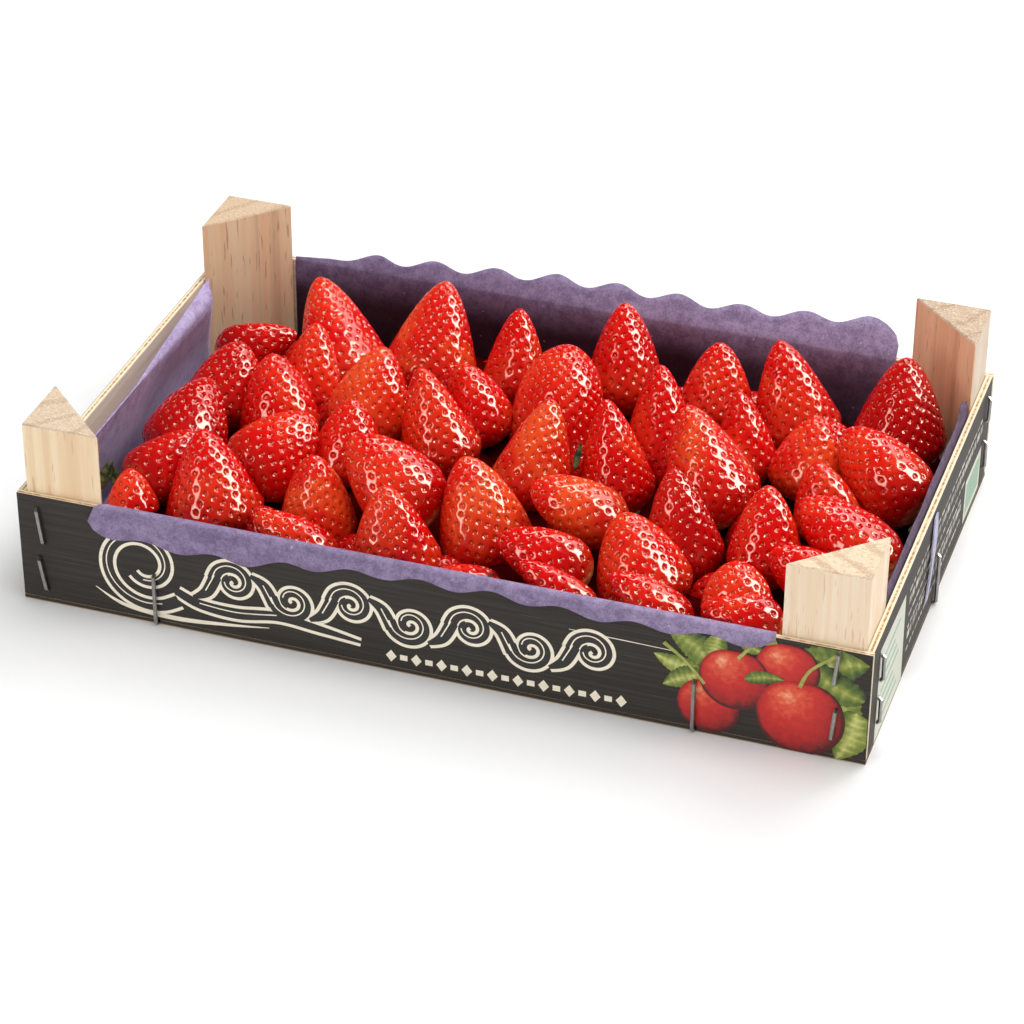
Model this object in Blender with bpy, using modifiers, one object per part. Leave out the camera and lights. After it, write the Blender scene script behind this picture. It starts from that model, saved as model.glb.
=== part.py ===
"""Shallow wooden crate of strawberries, with corner posts, wire staples and a paper liner.

Metres, +Z up. X runs along the crate, the printed face looks to -Y, and the origin is
the middle of the floor panel's underside.
"""
import math

import bmesh
import bpy
from mathutils import Vector

MM = 0.001
GAP = 0.0003            # clearance between touching pieces

# Panels
LENGTH = 0.360
WIDTH = 0.225
WALL_TOP = 0.052
FLOOR_THICK = 0.002
END_THICK = 0.003       # the two short plywood ends
FACE_THICK = 0.0025     # the two long faces, which cover the ends' edges
INNER_X = LENGTH / 2 - END_THICK
INNER_Y = WIDTH / 2 - FACE_THICK
WALL_FOOT = FLOOR_THICK + GAP

# Corner posts: side in X, side in Y, leg along X, leg along Y, height of the top
POSTS = {
    "post_front_left": (-1, -1, 0.034, 0.033, 0.084),
    "post_front_right": (1, -1, 0.034, 0.032, 0.085),
    "post_back_left": (-1, 1, 0.031, 0.032, 0.080),
    "post_back_right": (1, 1, 0.033, 0.032, 0.085),
}
POST_ARRIS = 0.0006     # small chamfer on the sawn edges

# Staples: place along the wall of the upper end, height of both ends, shift of the lower end
WIRE = 0.0009           # wire radius
WIRE_OFF = 0.0015       # how far the wire's axis stands off the wall
WIRE_TURN = 0.0008      # radius of a staple's bends
FACE_STAPLES = [
    (-0.171, 0.046, 0.030, 0.002),
    (-0.1715, 0.022, 0.007, 0.0025),
    (0.167, 0.051, 0.036, -0.0014),
    (0.167, 0.024, 0.010, -0.0012),
]
END_STAPLES = [
    (-0.098, 0.043, 0.031, 0.0006),
    (-0.0985, 0.023, 0.011, 0.0005),
    (0.100, 0.047, 0.036, -0.001),
    (0.098, 0.026, 0.012, 0.002),
]
# Long staples turn under the floor panel, in a slot in its edge: place along the wall
FACE_WRAPS = (-0.120, 0.110)
END_WRAPS = (0.006,)
WRAP_TOP = 0.0245
WRAP_AXIS_Z = 0.0010    # height of the wire's axis where it lies in the slot
WRAP_REACH = 0.009      # how far it runs in under the crate
SLOT_WIDTH = 0.0026

# Paper liner: one sheet with a flap up each wall
PAPER = 0.0006
LINER_Z = WALL_FOOT     # underside of the sheet
PAPER_X = INNER_X - GAP
PAPER_Y = INNER_Y - GAP
FRONT_SPAN = (-0.1413, 0.1410)
BACK_SPAN = (-0.1446, 0.1370)
LEFT_SPAN = (-0.0756, 0.0766)
RIGHT_SPAN = (-0.0766, 0.0766)
FRONT_SCALLOP = (0.0295, 0.011, 0.0015)    # wave of the cut edge: length, phase, depth
BACK_SCALLOP = (0.0287, 0.0075, 0.0016)
WAVE_COLUMNS = 52       # columns of faces along a scalloped flap
PLAIN_COLUMNS = 14
FRONT_HANG = (          # how far the front flap hangs outside, along X
    (-0.0800, 0.0127), (-0.0600, 0.0092), (-0.0200, 0.0058), (0.0300, 0.0045),
    (0.0720, 0.0060), (0.1350, 0.0045))
BACK_RISE = (           # how far the back flap stands above the wall, along X
    (-0.1446, 0.0007), (-0.1310, 0.0017), (-0.1030, 0.0048), (-0.0500, 0.0067),
    (-0.0200, 0.0085), (0.0660, 0.0085), (0.0950, 0.0102), (0.1260, 0.0119))
BACK_LEAN = 0.75        # how far it leans out for each metre that it rises
LEFT_LEAN_IN = 0.0125
LEFT_TOP = 0.057
LEFT_CURL = 0.0065
RIGHT_TOP = 0.0575
RIGHT_TIP = 0.0635

# A loose strip of the paper against the outer side of the right end
STRIP_TOP = 0.0500
STRIP_FOOT = 0.0130
STRIP_WIDTH = 0.0075
STRIP_PLACE = (-0.004, -0.0125)

# Heap of fruit: core, then each berry by its tip, its stalk end and radius, in millimetres,
# and how blunt it is, from 1.0, conical, to 3.0, blunt
CORE_TOP = 0.038
CORE_FOOT = LINER_Z + PAPER + GAP
CORE_LEFT = -0.1655
CORE_RIGHT = 0.1753
CORE_Y = 0.1083
CORE_CORNER = 0.0365
SHOULDER = 0.30         # share of a berry's length between its stalk end and its widest ring
TOP_FACETS = (10, 8)    # sides and rings of a berry on top of the heap
LOW_FACETS = (8, 6)     # and of one in the gaps
SHARP_ANGLE = math.radians(50)
BERRIES = [
    ((-114, 34, 60), (-147, 20, 49), 11.5, 1.6),
    ((-114, 61, 74), (-86, 33, 26), 21.5, 1.2),
    ((-59, 76, 74), (-62, 54, 23), 21, 1.1),
    ((-23, 70, 70), (-22, 58, 26), 15, 1.2),
    ((21, 83, 74), (25, 70, 24), 17.5, 1.3),
    ((68, 70, 70), (69, 59, 30), 16, 1.4),
    ((93, 73, 74), (108, 63, 24), 19, 1.05),
    ((149, 73, 76), (149, 64, 25), 20.5, 1.2),
    ((-130, 10, 66), (-135, -10, 32), 17.5, 1.6),
    ((-101, 26, 72), (-102, 13, 30), 15.5, 1.25),
    ((-111, -2, 70), (-102, -13, 28), 18, 1.6),
    ((-66, 16, 72), (-72, -2, 32), 18, 1.4),
    ((-45, 1, 74), (-29, -8, 26), 17.5, 1),
    ((-34, 22, 66), (-20, 20, 30), 15, 1.7),
    ((8, 45.5, 71), (6.5, 17.5, 22), 19, 3),
    ((50, 40, 72), (55, 24, 22), 15.8, 1.25),
    ((86, 33, 70), (94, 26, 28), 14, 1.2),
    ((122, 33, 64), (118, 20, 29), 16, 1.5),
    ((128, 1, 62), (139, -6, 29), 14, 1.5),
    ((134, 27, 64), (170.5, 11, 37), 18, 1.9),
    ((130, -30, 63), (172.5, -46, 42), 15.5, 1.9),
    ((-131, -23, 66), (-137, -51, 35), 19.5, 1.4),
    ((-79, -35, 64), (-103, -61, 40), 17, 1.7),
    ((-114, -72, 72), (-104, -82, 26), 20, 1.1),
    ((-123, -55, 59), (-144, -77, 36), 15, 1.4),
    ((-141, -86, 56), (-137, -93, 34), 11.5, 1.3),
    ((-81, -97, 53), (-47, -95, 32), 11, 1.9),
    ((-67, -67, 66), (-63, -72, 22), 16, 1.5),
    ((-66, -23, 68), (-66, -34, 31), 16, 1.4),
    ((-54, -58, 72), (-18, -61, 39), 18, 1.8),
    ((-28, -89, 72), (-21, -89, 25), 18, 1.15),
    ((-4, -97, 41), (24, -96, 34), 10, 1.6),
    ((-6, -54, 70), (10, -62, 22), 19, 1.5),
    ((16, -5, 74), (9, -23, 28), 18, 1.1),
    ((37, 2, 74), (48, -8, 23), 17, 1.05),
    ((22, -52, 61), (62, -49, 44), 13.5, 2.2),
    ((19, -84, 55), (57, -81, 40), 12.5, 2),
    ((32, -97, 54), (65, -98, 33), 9.5, 1.6),
    ((65, -66, 65), (83, -77, 26), 19.5, 1.5),
    ((70, -98, 57), (103, -98, 34), 11, 1.6),
    ((78, -38, 72), (88, -46, 24), 17.5, 1.15),
    ((71, 5, 76), (94, -12, 30), 20, 1.15),
    ((118, -38, 72), (120, -49, 30), 16, 1.4),
    ((117, -83, 63), (120, -87, 34), 15, 2.2),
    ((108, -100, 51), (140, -94, 43), 11, 1.9),
    ((126, -64, 58), (152, -60, 42), 11.5, 1.8),
]
# Berries of the layer below, which show in the gaps
LOW_BERRIES = [
    ((-138, 62, 45), (-133, 52, 22), 15, 1.6),
    ((-112, 88, 37), (-118, 84, 14), 15, 1.5),
    ((-84, 92, 34), (-82, 88, 12), 14, 1.5),
    ((-38, 90, 31), (-40, 84, 12), 15, 1.6),
    ((-2, 90, 36), (0, 86, 13), 15, 1.4),
    ((46, 90, 32), (44, 84, 13), 15, 1.5),
    ((78, 90, 36), (80, 86, 13), 14, 1.6),
    ((124, 88, 27), (120, 84, 9), 15, 1.5),
    ((47, 62, 52), (46, 56, 22), 14, 1.5),
    ((-42, 44, 52), (-42, 38, 22), 15, 1.5),
    ((-76, 44, 50), (-78, 40, 22), 14, 1.5),
    ((27, 10, 44), (28, 10, 22), 13, 1.6),
    ((123, 54, 50), (126, 48, 20), 15, 1.5),
    ((154, 42, 46), (156, 38, 20), 14, 1.7),
    ((152, -8, 48), (156, -14, 22), 14, 1.6),
    ((-151, -14, 50), (-149, -20, 22), 12, 1.6),
    ((-90, -30, 50), (-90, -26, 22), 14, 1.5),
    ((-45, -26, 52), (-44, -26, 24), 14, 1.6),
    ((-84, 8, 50), (-88, 6, 22), 13, 1.6),
    ((-86, -80, 44), (-84, -78, 22), 13, 1.5),
    ((-44, -84, 40), (-44, -80, 20), 13, 1.6),
    ((-6, -84, 38), (-4, -80, 20), 13, 1.6),
    ((37, -34, 54), (38, -34, 24), 14, 1.5),
    ((112, -16, 50), (110, -16, 22), 14, 1.5),
    ((104, -64, 42), (104, -62, 22), 12, 1.6),
    ((150, -84, 46), (146, -78, 20), 10, 1.6),
    ((62, 22, 52), (64, 20, 22), 13, 1.6),
    ((-150, 22, 40), (-152, 28, 18), 12, 1.7),
]


def clear_scene():
    for obj in list(bpy.data.objects):
        bpy.data.objects.remove(obj, do_unlink=True)


def new_collection(name):
    collection = bpy.data.collections.new(name)
    bpy.context.scene.collection.children.link(collection)
    return collection


def material(name, color, roughness, metallic=0.0):
    mat = bpy.data.materials.new(name)
    mat.use_nodes = True
    shader = mat.node_tree.nodes["Principled BSDF"]
    shader.inputs["Base Color"].default_value = (*color, 1.0)
    shader.inputs["Roughness"].default_value = roughness
    shader.inputs["Metallic"].default_value = metallic
    mat.diffuse_color = (*color, 1.0)
    return mat


def add_object(name, mesh, collection, mat=None):
    obj = bpy.data.objects.new(name, mesh)
    collection.objects.link(obj)
    if mat:
        mesh.materials.append(mat)
    return obj


def box_mesh(name, low, high):
    """A box between two corners."""
    bm = bmesh.new()
    bmesh.ops.create_cube(bm, size=1.0)
    low, high = Vector(low), Vector(high)
    for vert in bm.verts:
        vert.co = Vector(low[k] + (vert.co[k] + 0.5) * (high[k] - low[k]) for k in range(3))
    mesh = bpy.data.meshes.new(name)
    bm.to_mesh(mesh)
    bm.free()
    return mesh


def cutter(name, low, high, collection):
    obj = add_object(name, box_mesh(name, low, high), collection)
    obj.display_type = "WIRE"
    obj.hide_render = True
    return obj


def cut(obj, tool):
    modifier = obj.modifiers.new("cut " + tool.name, "BOOLEAN")
    modifier.operation = "DIFFERENCE"
    modifier.object = tool


def add_panels(parts, cutters, wood, print_black):
    """Floor panel with a slot for each long staple, and the four walls standing on it."""
    half_x, half_y = LENGTH / 2, WIDTH / 2
    floor = add_object("floor_panel", box_mesh(
        "floor_panel", (-half_x, -half_y, 0), (half_x, half_y, FLOOR_THICK)), parts, wood)
    reach = WRAP_REACH + 2 * GAP
    half_slot = SLOT_WIDTH / 2
    for side in (-1, 1):
        for number, place in enumerate(FACE_WRAPS):
            edges = sorted((side * (half_y + MM), side * (half_y - reach)))
            cut(floor, cutter(f"slot_face_{side}_{number}", (place - half_slot, edges[0], -MM),
                              (place + half_slot, edges[1], FLOOR_THICK + MM), cutters))
        for number, place in enumerate(END_WRAPS):
            edges = sorted((side * (half_x + MM), side * (half_x - reach)))
            cut(floor, cutter(f"slot_end_{side}_{number}", (edges[0], place - half_slot, -MM),
                              (edges[1], place + half_slot, FLOOR_THICK + MM), cutters))
    for name, side in (("wall_front", -1), ("wall_back", 1)):
        faces = sorted((side * INNER_Y, side * half_y))
        add_object(name, box_mesh(name, (-half_x, faces[0], WALL_FOOT),
                                  (half_x, faces[1], WALL_TOP)), parts, print_black)
    end_y = INNER_Y - GAP
    for name, side in (("wall_left", -1), ("wall_right", 1)):
        faces = sorted((side * INNER_X, side * half_x))
        add_object(name, box_mesh(name, (faces[0], -end_y, WALL_FOOT),
                                  (faces[1], end_y, WALL_TOP)), parts, print_black)


def add_post(name, side_x, side_y, leg_x, leg_y, top, parts, wood):
    """A block split along its diagonal: a triangular post with its square edge outwards."""
    corner = Vector((side_x * (INNER_X - GAP), side_y * (INNER_Y - GAP), 0))
    inner = corner - Vector((side_x * leg_x, side_y * leg_y, 0))
    low = (min(corner.x, inner.x), min(corner.y, inner.y), WALL_FOOT)
    high = (max(corner.x, inner.x), max(corner.y, inner.y), top)
    mesh = box_mesh(name, low, high)
    bm = bmesh.new()
    bm.from_mesh(mesh)
    middle = (corner + inner) / 2
    inwards = Vector((-side_x * leg_y, -side_y * leg_x, 0)).normalized()
    bmesh.ops.bisect_plane(bm, geom=bm.verts[:] + bm.edges[:] + bm.faces[:], dist=1e-6,
                           plane_co=middle, plane_no=inwards, clear_outer=True)
    bmesh.ops.holes_fill(bm, edges=[edge for edge in bm.edges if edge.is_boundary], sides=0)
    bmesh.ops.recalc_face_normals(bm, faces=bm.faces)
    bm.to_mesh(mesh)
    bm.free()
    post = add_object(name, mesh, parts, wood)
    bevel = post.modifiers.new("arris", "BEVEL")
    bevel.width = POST_ARRIS
    bevel.segments = 1
    bevel.limit_method = "ANGLE"


def rounded_route(points, radius):
    """The points with each inner corner cut across at the ends of its bend."""
    route = [points[0]]
    for before, here, after in zip(points, points[1:], points[2:]):
        back = (before - here).normalized()
        ahead = (after - here).normalized()
        route.append(here + back * radius)
        route.append(here + ahead * radius)
    route.append(points[-1])
    return route


def add_wire(name, points, parts, steel):
    """A bent round wire through the points."""
    curve = bpy.data.curves.new(name, "CURVE")
    curve.dimensions = "3D"
    curve.bevel_depth = WIRE
    curve.bevel_resolution = 2
    curve.use_fill_caps = True
    route = rounded_route(points, WIRE_TURN)
    spline = curve.splines.new("POLY")
    spline.points.add(len(route) - 1)
    for spline_point, place in zip(spline.points, route):
        spline_point.co = (*place, 1.0)
    curve.materials.append(steel)
    parts.objects.link(bpy.data.objects.new(name, curve))


def add_staples(wall, along, outwards, face, staples, wraps, parts, steel):
    """Staples on one wall. along and outwards are its directions, face its outer distance."""
    up = Vector((0, 0, 1))
    axis_off = outwards * (face + WIRE_OFF)
    tip_off = outwards * (face + GAP)
    number = 0
    for place, high, low, shift in staples:
        number += 1
        top = along * place + up * high
        foot = along * (place + shift) + up * low
        add_wire(f"staple_{wall}_{number}",
                 [top + tip_off, top + axis_off, foot + axis_off, foot + tip_off], parts, steel)
    for place in wraps:
        number += 1
        top = along * place + up * WRAP_TOP
        foot = along * place + up * WRAP_AXIS_Z
        under = foot + outwards * (face - WRAP_REACH)
        add_wire(f"staple_{wall}_{number}",
                 [top + tip_off, top + axis_off, foot + axis_off, under], parts, steel)


def wave(place, scallop):
    """The cut edge's scallops, as a height either side of its mean."""
    length, phase, depth = scallop
    return depth * math.cos(2 * math.pi * (place - phase) / length)


def lerp(a, b, share):
    return a + (b - a) * share


def read_off(curve, place):
    """Height of a curve, given as points joined by straight lines, at a place."""
    if place <= curve[0][0]:
        return curve[0][1]
    for (start, low), (end, high) in zip(curve, curve[1:]):
        if place <= end:
            return lerp(low, high, (place - start) / (end - start))
    return curve[-1][1]


def front_flap(share):
    """Section of the front flap, from the base up the wall, over it and down outside."""
    x = lerp(*FRONT_SPAN, share)
    hang = read_off(FRONT_HANG, x) + wave(x, FRONT_SCALLOP) * min(1.0, share / 0.05)
    spread = lerp(-0.0065, 0.001, share) * abs(2 * share - 1) ** 8
    rim, outer = WALL_TOP + GAP, WIDTH / 2 + GAP
    from_left, from_right = x - FRONT_SPAN[0], FRONT_SPAN[1] - x
    corner = math.sqrt(1 - max(0.0, 1 - from_left / 0.009) ** 2)
    foot = rim - hang * lerp(0.50, 1.0, corner) * min(1.0, 0.25 + from_right / 0.006)
    return [Vector((x, -PAPER_Y, LINER_Z)), Vector((x, -PAPER_Y, rim)),
            Vector((x + spread * 0.6, -outer, rim)),
            Vector((x + spread, -outer - 0.0003, (rim + foot) / 2)),
            Vector((x + spread, -outer - 0.0006, foot))]


def back_flap(share):
    """Section of the back flap, standing up past the wall and leaning out."""
    x = lerp(*BACK_SPAN, share)
    from_right = BACK_SPAN[1] - x
    corner = math.sqrt(1 - max(0.0, 1 - from_right / 0.008) ** 2)
    rise = read_off(BACK_RISE, x) + wave(x, BACK_SCALLOP) * min(1.0, max(0.0, share - 0.04) / 0.1)
    rise *= lerp(0.45, 1.0, corner)
    crease = WALL_TOP + GAP
    return [Vector((x, PAPER_Y, LINER_Z)), Vector((x, PAPER_Y, crease)),
            Vector((x, PAPER_Y + rise * BACK_LEAN / 2, crease + rise / 2)),
            Vector((x, PAPER_Y + rise * BACK_LEAN, crease + rise))]


def left_flap(share):
    """Section of the left flap, which leans into the crate with its top edge curling back."""
    y = lerp(*LEFT_SPAN, share)
    top_y = lerp(LEFT_SPAN[0], 0.064, share)
    curl = LEFT_CURL * max(0.0, share - 0.35) / 0.65
    bulge = 0.0025 * math.sin(2 * math.pi * share)
    return [Vector((-PAPER_X, y, LINER_Z)),
            Vector((-PAPER_X + LEFT_LEAN_IN * 0.45 + bulge, lerp(y, top_y, 0.5), LEFT_TOP * 0.5)),
            Vector((-PAPER_X + LEFT_LEAN_IN, top_y, LEFT_TOP - curl * 0.3)),
            Vector((-PAPER_X + LEFT_LEAN_IN - curl * 0.8, top_y + curl * 0.2,
                    LEFT_TOP + 0.0008 + curl * 0.45))]


def right_flap(share):
    """Section of the right flap, upright against the wall, with a raised tip at the back."""
    y = lerp(*RIGHT_SPAN, share)
    tip = math.exp(-((share - 0.93) / 0.035) ** 2) * (RIGHT_TIP - RIGHT_TOP)
    top = lerp(RIGHT_TOP - 0.002, RIGHT_TOP, share) + tip
    return [Vector((PAPER_X, y, LINER_Z)), Vector((PAPER_X - 0.0004, y, WALL_TOP)),
            Vector((PAPER_X - 0.0014, y, top))]


def add_liner(parts, paper):
    """One sheet: a base with four flaps on its edges, given its thickness by Solidify."""
    bm = bmesh.new()
    outline = []
    flaps = ((front_flap, WAVE_COLUMNS, False), (right_flap, PLAIN_COLUMNS, False),
             (back_flap, WAVE_COLUMNS, True), (left_flap, PLAIN_COLUMNS, True))
    for section, columns, backwards in flaps:
        shares = [k / columns for k in range(columns + 1)]
        if backwards:
            shares.reverse()
        strips = [[bm.verts.new(place) for place in section(share)] for share in shares]
        outline += [strip[0] for strip in strips]
        for here, after in zip(strips, strips[1:]):
            for row in range(len(here) - 1):
                bm.faces.new((here[row], here[row + 1], after[row + 1], after[row]))
    bm.faces.new(outline)
    bmesh.ops.recalc_face_normals(bm, faces=bm.faces)
    base = max(bm.faces, key=lambda face: len(face.verts))
    if base.normal.z < 0:
        bmesh.ops.reverse_faces(bm, faces=bm.faces)
    bmesh.ops.triangulate(bm, faces=bm.faces[:])
    mesh = bpy.data.meshes.new("liner")
    bm.to_mesh(mesh)
    bm.free()
    liner = add_object("liner", mesh, parts, paper)
    solidify = liner.modifiers.new("paper", "SOLIDIFY")
    solidify.thickness = PAPER
    solidify.offset = 1.0
    solidify.use_even_offset = True


def add_strip(parts, paper):
    """The loose strip: a narrow leaf that tapers to its foot."""
    rows = 6
    face = LENGTH / 2 + GAP
    bm = bmesh.new()
    pairs = []
    for row in range(rows + 1):
        share = row / rows
        width = STRIP_WIDTH * (0.55 + 0.45 * math.sin(math.pi * min(1.0, share * 1.6 + 0.1)))
        middle = lerp(*STRIP_PLACE, share)
        z = lerp(STRIP_TOP, STRIP_FOOT, share)
        off = 0.0007 * math.sin(math.pi * share)
        pairs.append((bm.verts.new((face + off, middle - width / 2, z)),
                      bm.verts.new((face + off, middle + width / 2, z))))
    for here, after in zip(pairs, pairs[1:]):
        bm.faces.new((here[0], after[0], after[1], here[1]))
    bmesh.ops.triangulate(bm, faces=bm.faces[:])
    mesh = bpy.data.meshes.new("paper_strip")
    bm.to_mesh(mesh)
    bm.free()
    strip = add_object("paper_strip", mesh, parts, paper)
    solidify = strip.modifiers.new("paper", "SOLIDIFY")
    solidify.thickness = PAPER
    solidify.offset = 1.0


def berry_radius(share, blunt):
    """Relative radius at a share of the length, from the stalk end, 0, to the tip, 1."""
    if share < SHOULDER:
        return math.sqrt(max(0.0, 1 - ((SHOULDER - share) / SHOULDER) ** 2))
    along = (share - SHOULDER) / (1 - SHOULDER)
    return max(0.0, 1 - along ** (blunt - 0.15)) ** 0.58


def berry_mesh(number, facets, tip, stalk, radius, blunt):
    """A sphere drawn out into a berry, a little uneven all round."""
    tip, stalk = Vector(tip) * MM, Vector(stalk) * MM
    axis = tip - stalk
    turn = axis.to_track_quat("Z", "Y")
    bm = bmesh.new()
    bmesh.ops.create_uvsphere(bm, u_segments=facets[0], v_segments=facets[1], radius=1.0)
    for vert in bm.verts:
        share = (1 + max(-1.0, min(1.0, vert.co.z))) / 2
        around = math.atan2(vert.co.y, vert.co.x)
        lobes = 1 + 0.04 * math.cos(2 * around + 2.1 * number) + 0.025 * math.cos(
            3 * around + 1.7 * number)
        reach = radius * MM * berry_radius(share, blunt) * lobes
        local = Vector((reach * math.cos(around), reach * math.sin(around), share * axis.length))
        vert.co = stalk + turn @ local
    mesh = bpy.data.meshes.new("berry")
    bm.to_mesh(mesh)
    bm.free()
    return mesh


def core_mesh():
    """The packed fruit below: a low block with its corners cut back for the posts."""
    bm = bmesh.new()
    corners = [(CORE_LEFT, -CORE_Y), (CORE_RIGHT, -CORE_Y),
               (CORE_RIGHT, CORE_Y), (CORE_LEFT, CORE_Y)]
    outline = []
    for number, (x, y) in enumerate(corners):
        along_x = Vector((math.copysign(CORE_CORNER, -x), 0, 0))
        along_y = Vector((0, math.copysign(CORE_CORNER, -y), 0))
        ends = [Vector((x, y, CORE_FOOT)) + along_y, Vector((x, y, CORE_FOOT)) + along_x]
        if number % 2:
            ends.reverse()
        outline += [bm.verts.new(end) for end in ends]
    base = bm.faces.new(outline)
    lifted = bmesh.ops.extrude_face_region(bm, geom=[base])["geom"]
    for vert in [item for item in lifted if isinstance(item, bmesh.types.BMVert)]:
        vert.co.z = CORE_TOP
    bmesh.ops.recalc_face_normals(bm, faces=bm.faces)
    mesh = bpy.data.meshes.new("strawberries")
    bm.to_mesh(mesh)
    bm.free()
    return mesh


def shell_of(vert):
    """All the vertices joined to one by edges."""
    shell = {vert}
    waiting = [vert]
    while waiting:
        here = waiting.pop()
        for edge in here.link_edges:
            other = edge.other_vert(here)
            if other not in shell:
                shell.add(other)
                waiting.append(other)
    return shell


def keep_outer_shell(bm):
    """Fill the small hollows that the berries close off, by dropping their shells."""
    left = set(bm.verts)
    shells = []
    while left:
        shell = shell_of(next(iter(left)))
        shells.append(shell)
        left -= shell
    shells.sort(key=len)
    for shell in shells[:-1]:
        bmesh.ops.delete(bm, geom=list(shell), context="VERTS")


def add_heap(parts, red):
    """The core and all the berries joined into one closed solid."""
    loose = new_collection("loose berries")
    for number, berry in enumerate(BERRIES + LOW_BERRIES, 1):
        facets = TOP_FACETS if number <= len(BERRIES) else LOW_FACETS
        add_object(f"berry_{number}", berry_mesh(number, facets, *berry), loose)
    heap = add_object("strawberries", core_mesh(), parts, red)
    join = heap.modifiers.new("join", "BOOLEAN")
    join.operation = "UNION"
    join.operand_type = "COLLECTION"
    join.solver = "MANIFOLD"
    join.collection = loose
    bpy.context.view_layer.update()
    evaluated = heap.evaluated_get(bpy.context.evaluated_depsgraph_get())
    joined = bpy.data.meshes.new_from_object(evaluated)
    heap.modifiers.clear()
    heap.data = joined
    joined.name = "strawberries"
    joined.materials.clear()
    joined.materials.append(red)
    for berry in list(loose.objects):
        bpy.data.objects.remove(berry, do_unlink=True)
    bpy.data.collections.remove(loose)
    bm = bmesh.new()
    bm.from_mesh(joined)
    bmesh.ops.dissolve_degenerate(bm, dist=0.000005, edges=bm.edges)
    keep_outer_shell(bm)
    bmesh.ops.triangulate(bm, faces=bm.faces[:])
    bm.to_mesh(joined)
    bm.free()
    joined.shade_smooth()
    joined.set_sharp_from_angle(angle=SHARP_ANGLE)


def main():
    clear_scene()
    parts = new_collection("strawberry crate")
    cutters = new_collection("cutters")
    poplar = material("poplar", (0.80, 0.62, 0.40), 0.75)
    print_black = material("black print", (0.035, 0.033, 0.033), 0.60)
    pine = material("pine", (0.85, 0.62, 0.36), 0.70)
    steel = material("steel wire", (0.45, 0.45, 0.46), 0.35, 1.0)
    paper = material("lilac paper", (0.20, 0.16, 0.30), 0.90)
    red = material("strawberry", (0.62, 0.02, 0.015), 0.30)

    add_panels(parts, cutters, poplar, print_black)
    for name, (side_x, side_y, leg_x, leg_y, top) in POSTS.items():
        add_post(name, side_x, side_y, leg_x, leg_y, top, parts, pine)
    along_x, along_y = Vector((1, 0, 0)), Vector((0, 1, 0))
    half_x, half_y = LENGTH / 2, WIDTH / 2
    add_staples("front", along_x, -along_y, half_y, FACE_STAPLES, FACE_WRAPS, parts, steel)
    add_staples("back", along_x, along_y, half_y, FACE_STAPLES, FACE_WRAPS, parts, steel)
    add_staples("right", along_y, along_x, half_x, END_STAPLES, END_WRAPS, parts, steel)
    add_staples("left", along_y, -along_x, half_x, END_STAPLES, END_WRAPS, parts, steel)
    add_liner(parts, paper)
    add_strip(parts, paper)
    add_heap(parts, red)


main()
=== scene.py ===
"""Looks of the strawberry crate: the berries one by one, the paper liner, wood, print, wire.

Everything is in metres in the crate's own frame: X along the crate, the printed face to -Y,
+Z up. The berries and the liner's flaps repeat the sizes of the CAD model.
"""
import math
import random

import bmesh
import bpy
import numpy as np
from mathutils import Matrix, Vector, noise


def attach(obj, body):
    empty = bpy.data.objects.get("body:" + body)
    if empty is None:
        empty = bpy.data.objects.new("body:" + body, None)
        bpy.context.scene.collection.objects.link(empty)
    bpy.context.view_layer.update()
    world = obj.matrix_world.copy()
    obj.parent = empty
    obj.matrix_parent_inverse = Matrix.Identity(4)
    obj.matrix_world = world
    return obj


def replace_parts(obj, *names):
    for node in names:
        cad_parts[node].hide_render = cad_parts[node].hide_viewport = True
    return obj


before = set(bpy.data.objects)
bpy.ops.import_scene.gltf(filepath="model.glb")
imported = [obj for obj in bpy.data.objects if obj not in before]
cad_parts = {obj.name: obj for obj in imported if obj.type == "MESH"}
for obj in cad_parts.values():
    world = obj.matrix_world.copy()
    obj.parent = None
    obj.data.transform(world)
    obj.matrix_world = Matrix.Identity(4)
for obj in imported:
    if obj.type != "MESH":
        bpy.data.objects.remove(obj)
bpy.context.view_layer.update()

MM = 0.001
GOLDEN_ANGLE = math.pi * (3 - math.sqrt(5))
GOLDEN_SHARE = 0.381966    # of a turn, which spreads the berries' tones evenly

# Camera: place, turn about Z, angle below the horizon, roll, focal length on a 36 mm sensor
CAMERA_PLACE = (0.3859, -1.1748, 0.8081)
CAMERA_TURN = math.radians(18.323)
CAMERA_PITCH = math.radians(32.792)
CAMERA_ROLL = math.radians(0.334)
CAMERA_LENS = 120.63
# Lights by azimuth (0 is the printed side, 90 the right), elevation, distance, size, power,
# and whether the light, its glints, or both show
AIM = (0, 0, 0.05)
WHITE, WARM = (1, 1, 1), (1.0, 0.88, 0.74)    # glints are warm
LIGHTS = {
    "key": (156, 46, 1.3, (0.80, 0.80), 8.0, "both"),
    "key_gloss": (108, 40, 1.3, (0.50, 1.35), 50, "glints"),
    "left_gloss": (-30, 24, 1.4, (0.4, 0.9), 11, "glints"),
    "ridge_gloss": (192, 60, 1.4, (0.6, 0.36), 9, "glints"),
    "left": (-24, 14, 1.4, (0.5, 0.4), 1.7, "both"),
    "overhead": (100, 79, 1.6, (1.0, 1.0), 12.8, "light"),
}
ROOM_LIGHT, ROOM_GLINT = 0.58, 0.05    # strength of the white room, and of its reflection
FLOOR_HALF, FLOOR_DROP = 6.0, 0.0001
FLOOR_COLOUR = (0.90, 0.90, 0.90, 1)

# Crate
LENGTH, WIDTH = 0.360, 0.225
WALL_TOP = 0.052
END_THICK, FACE_THICK = 0.003, 0.0025
INNER_X = LENGTH / 2 - END_THICK
INNER_Y = WIDTH / 2 - FACE_THICK
GAP = 0.0003
PRINT_REACH = {"front": 179.7, "right": 109.3}    # ink stays on the wood, in millimetres
PRINT_LOW, PRINT_HIGH = 0.4, 51.7

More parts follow.
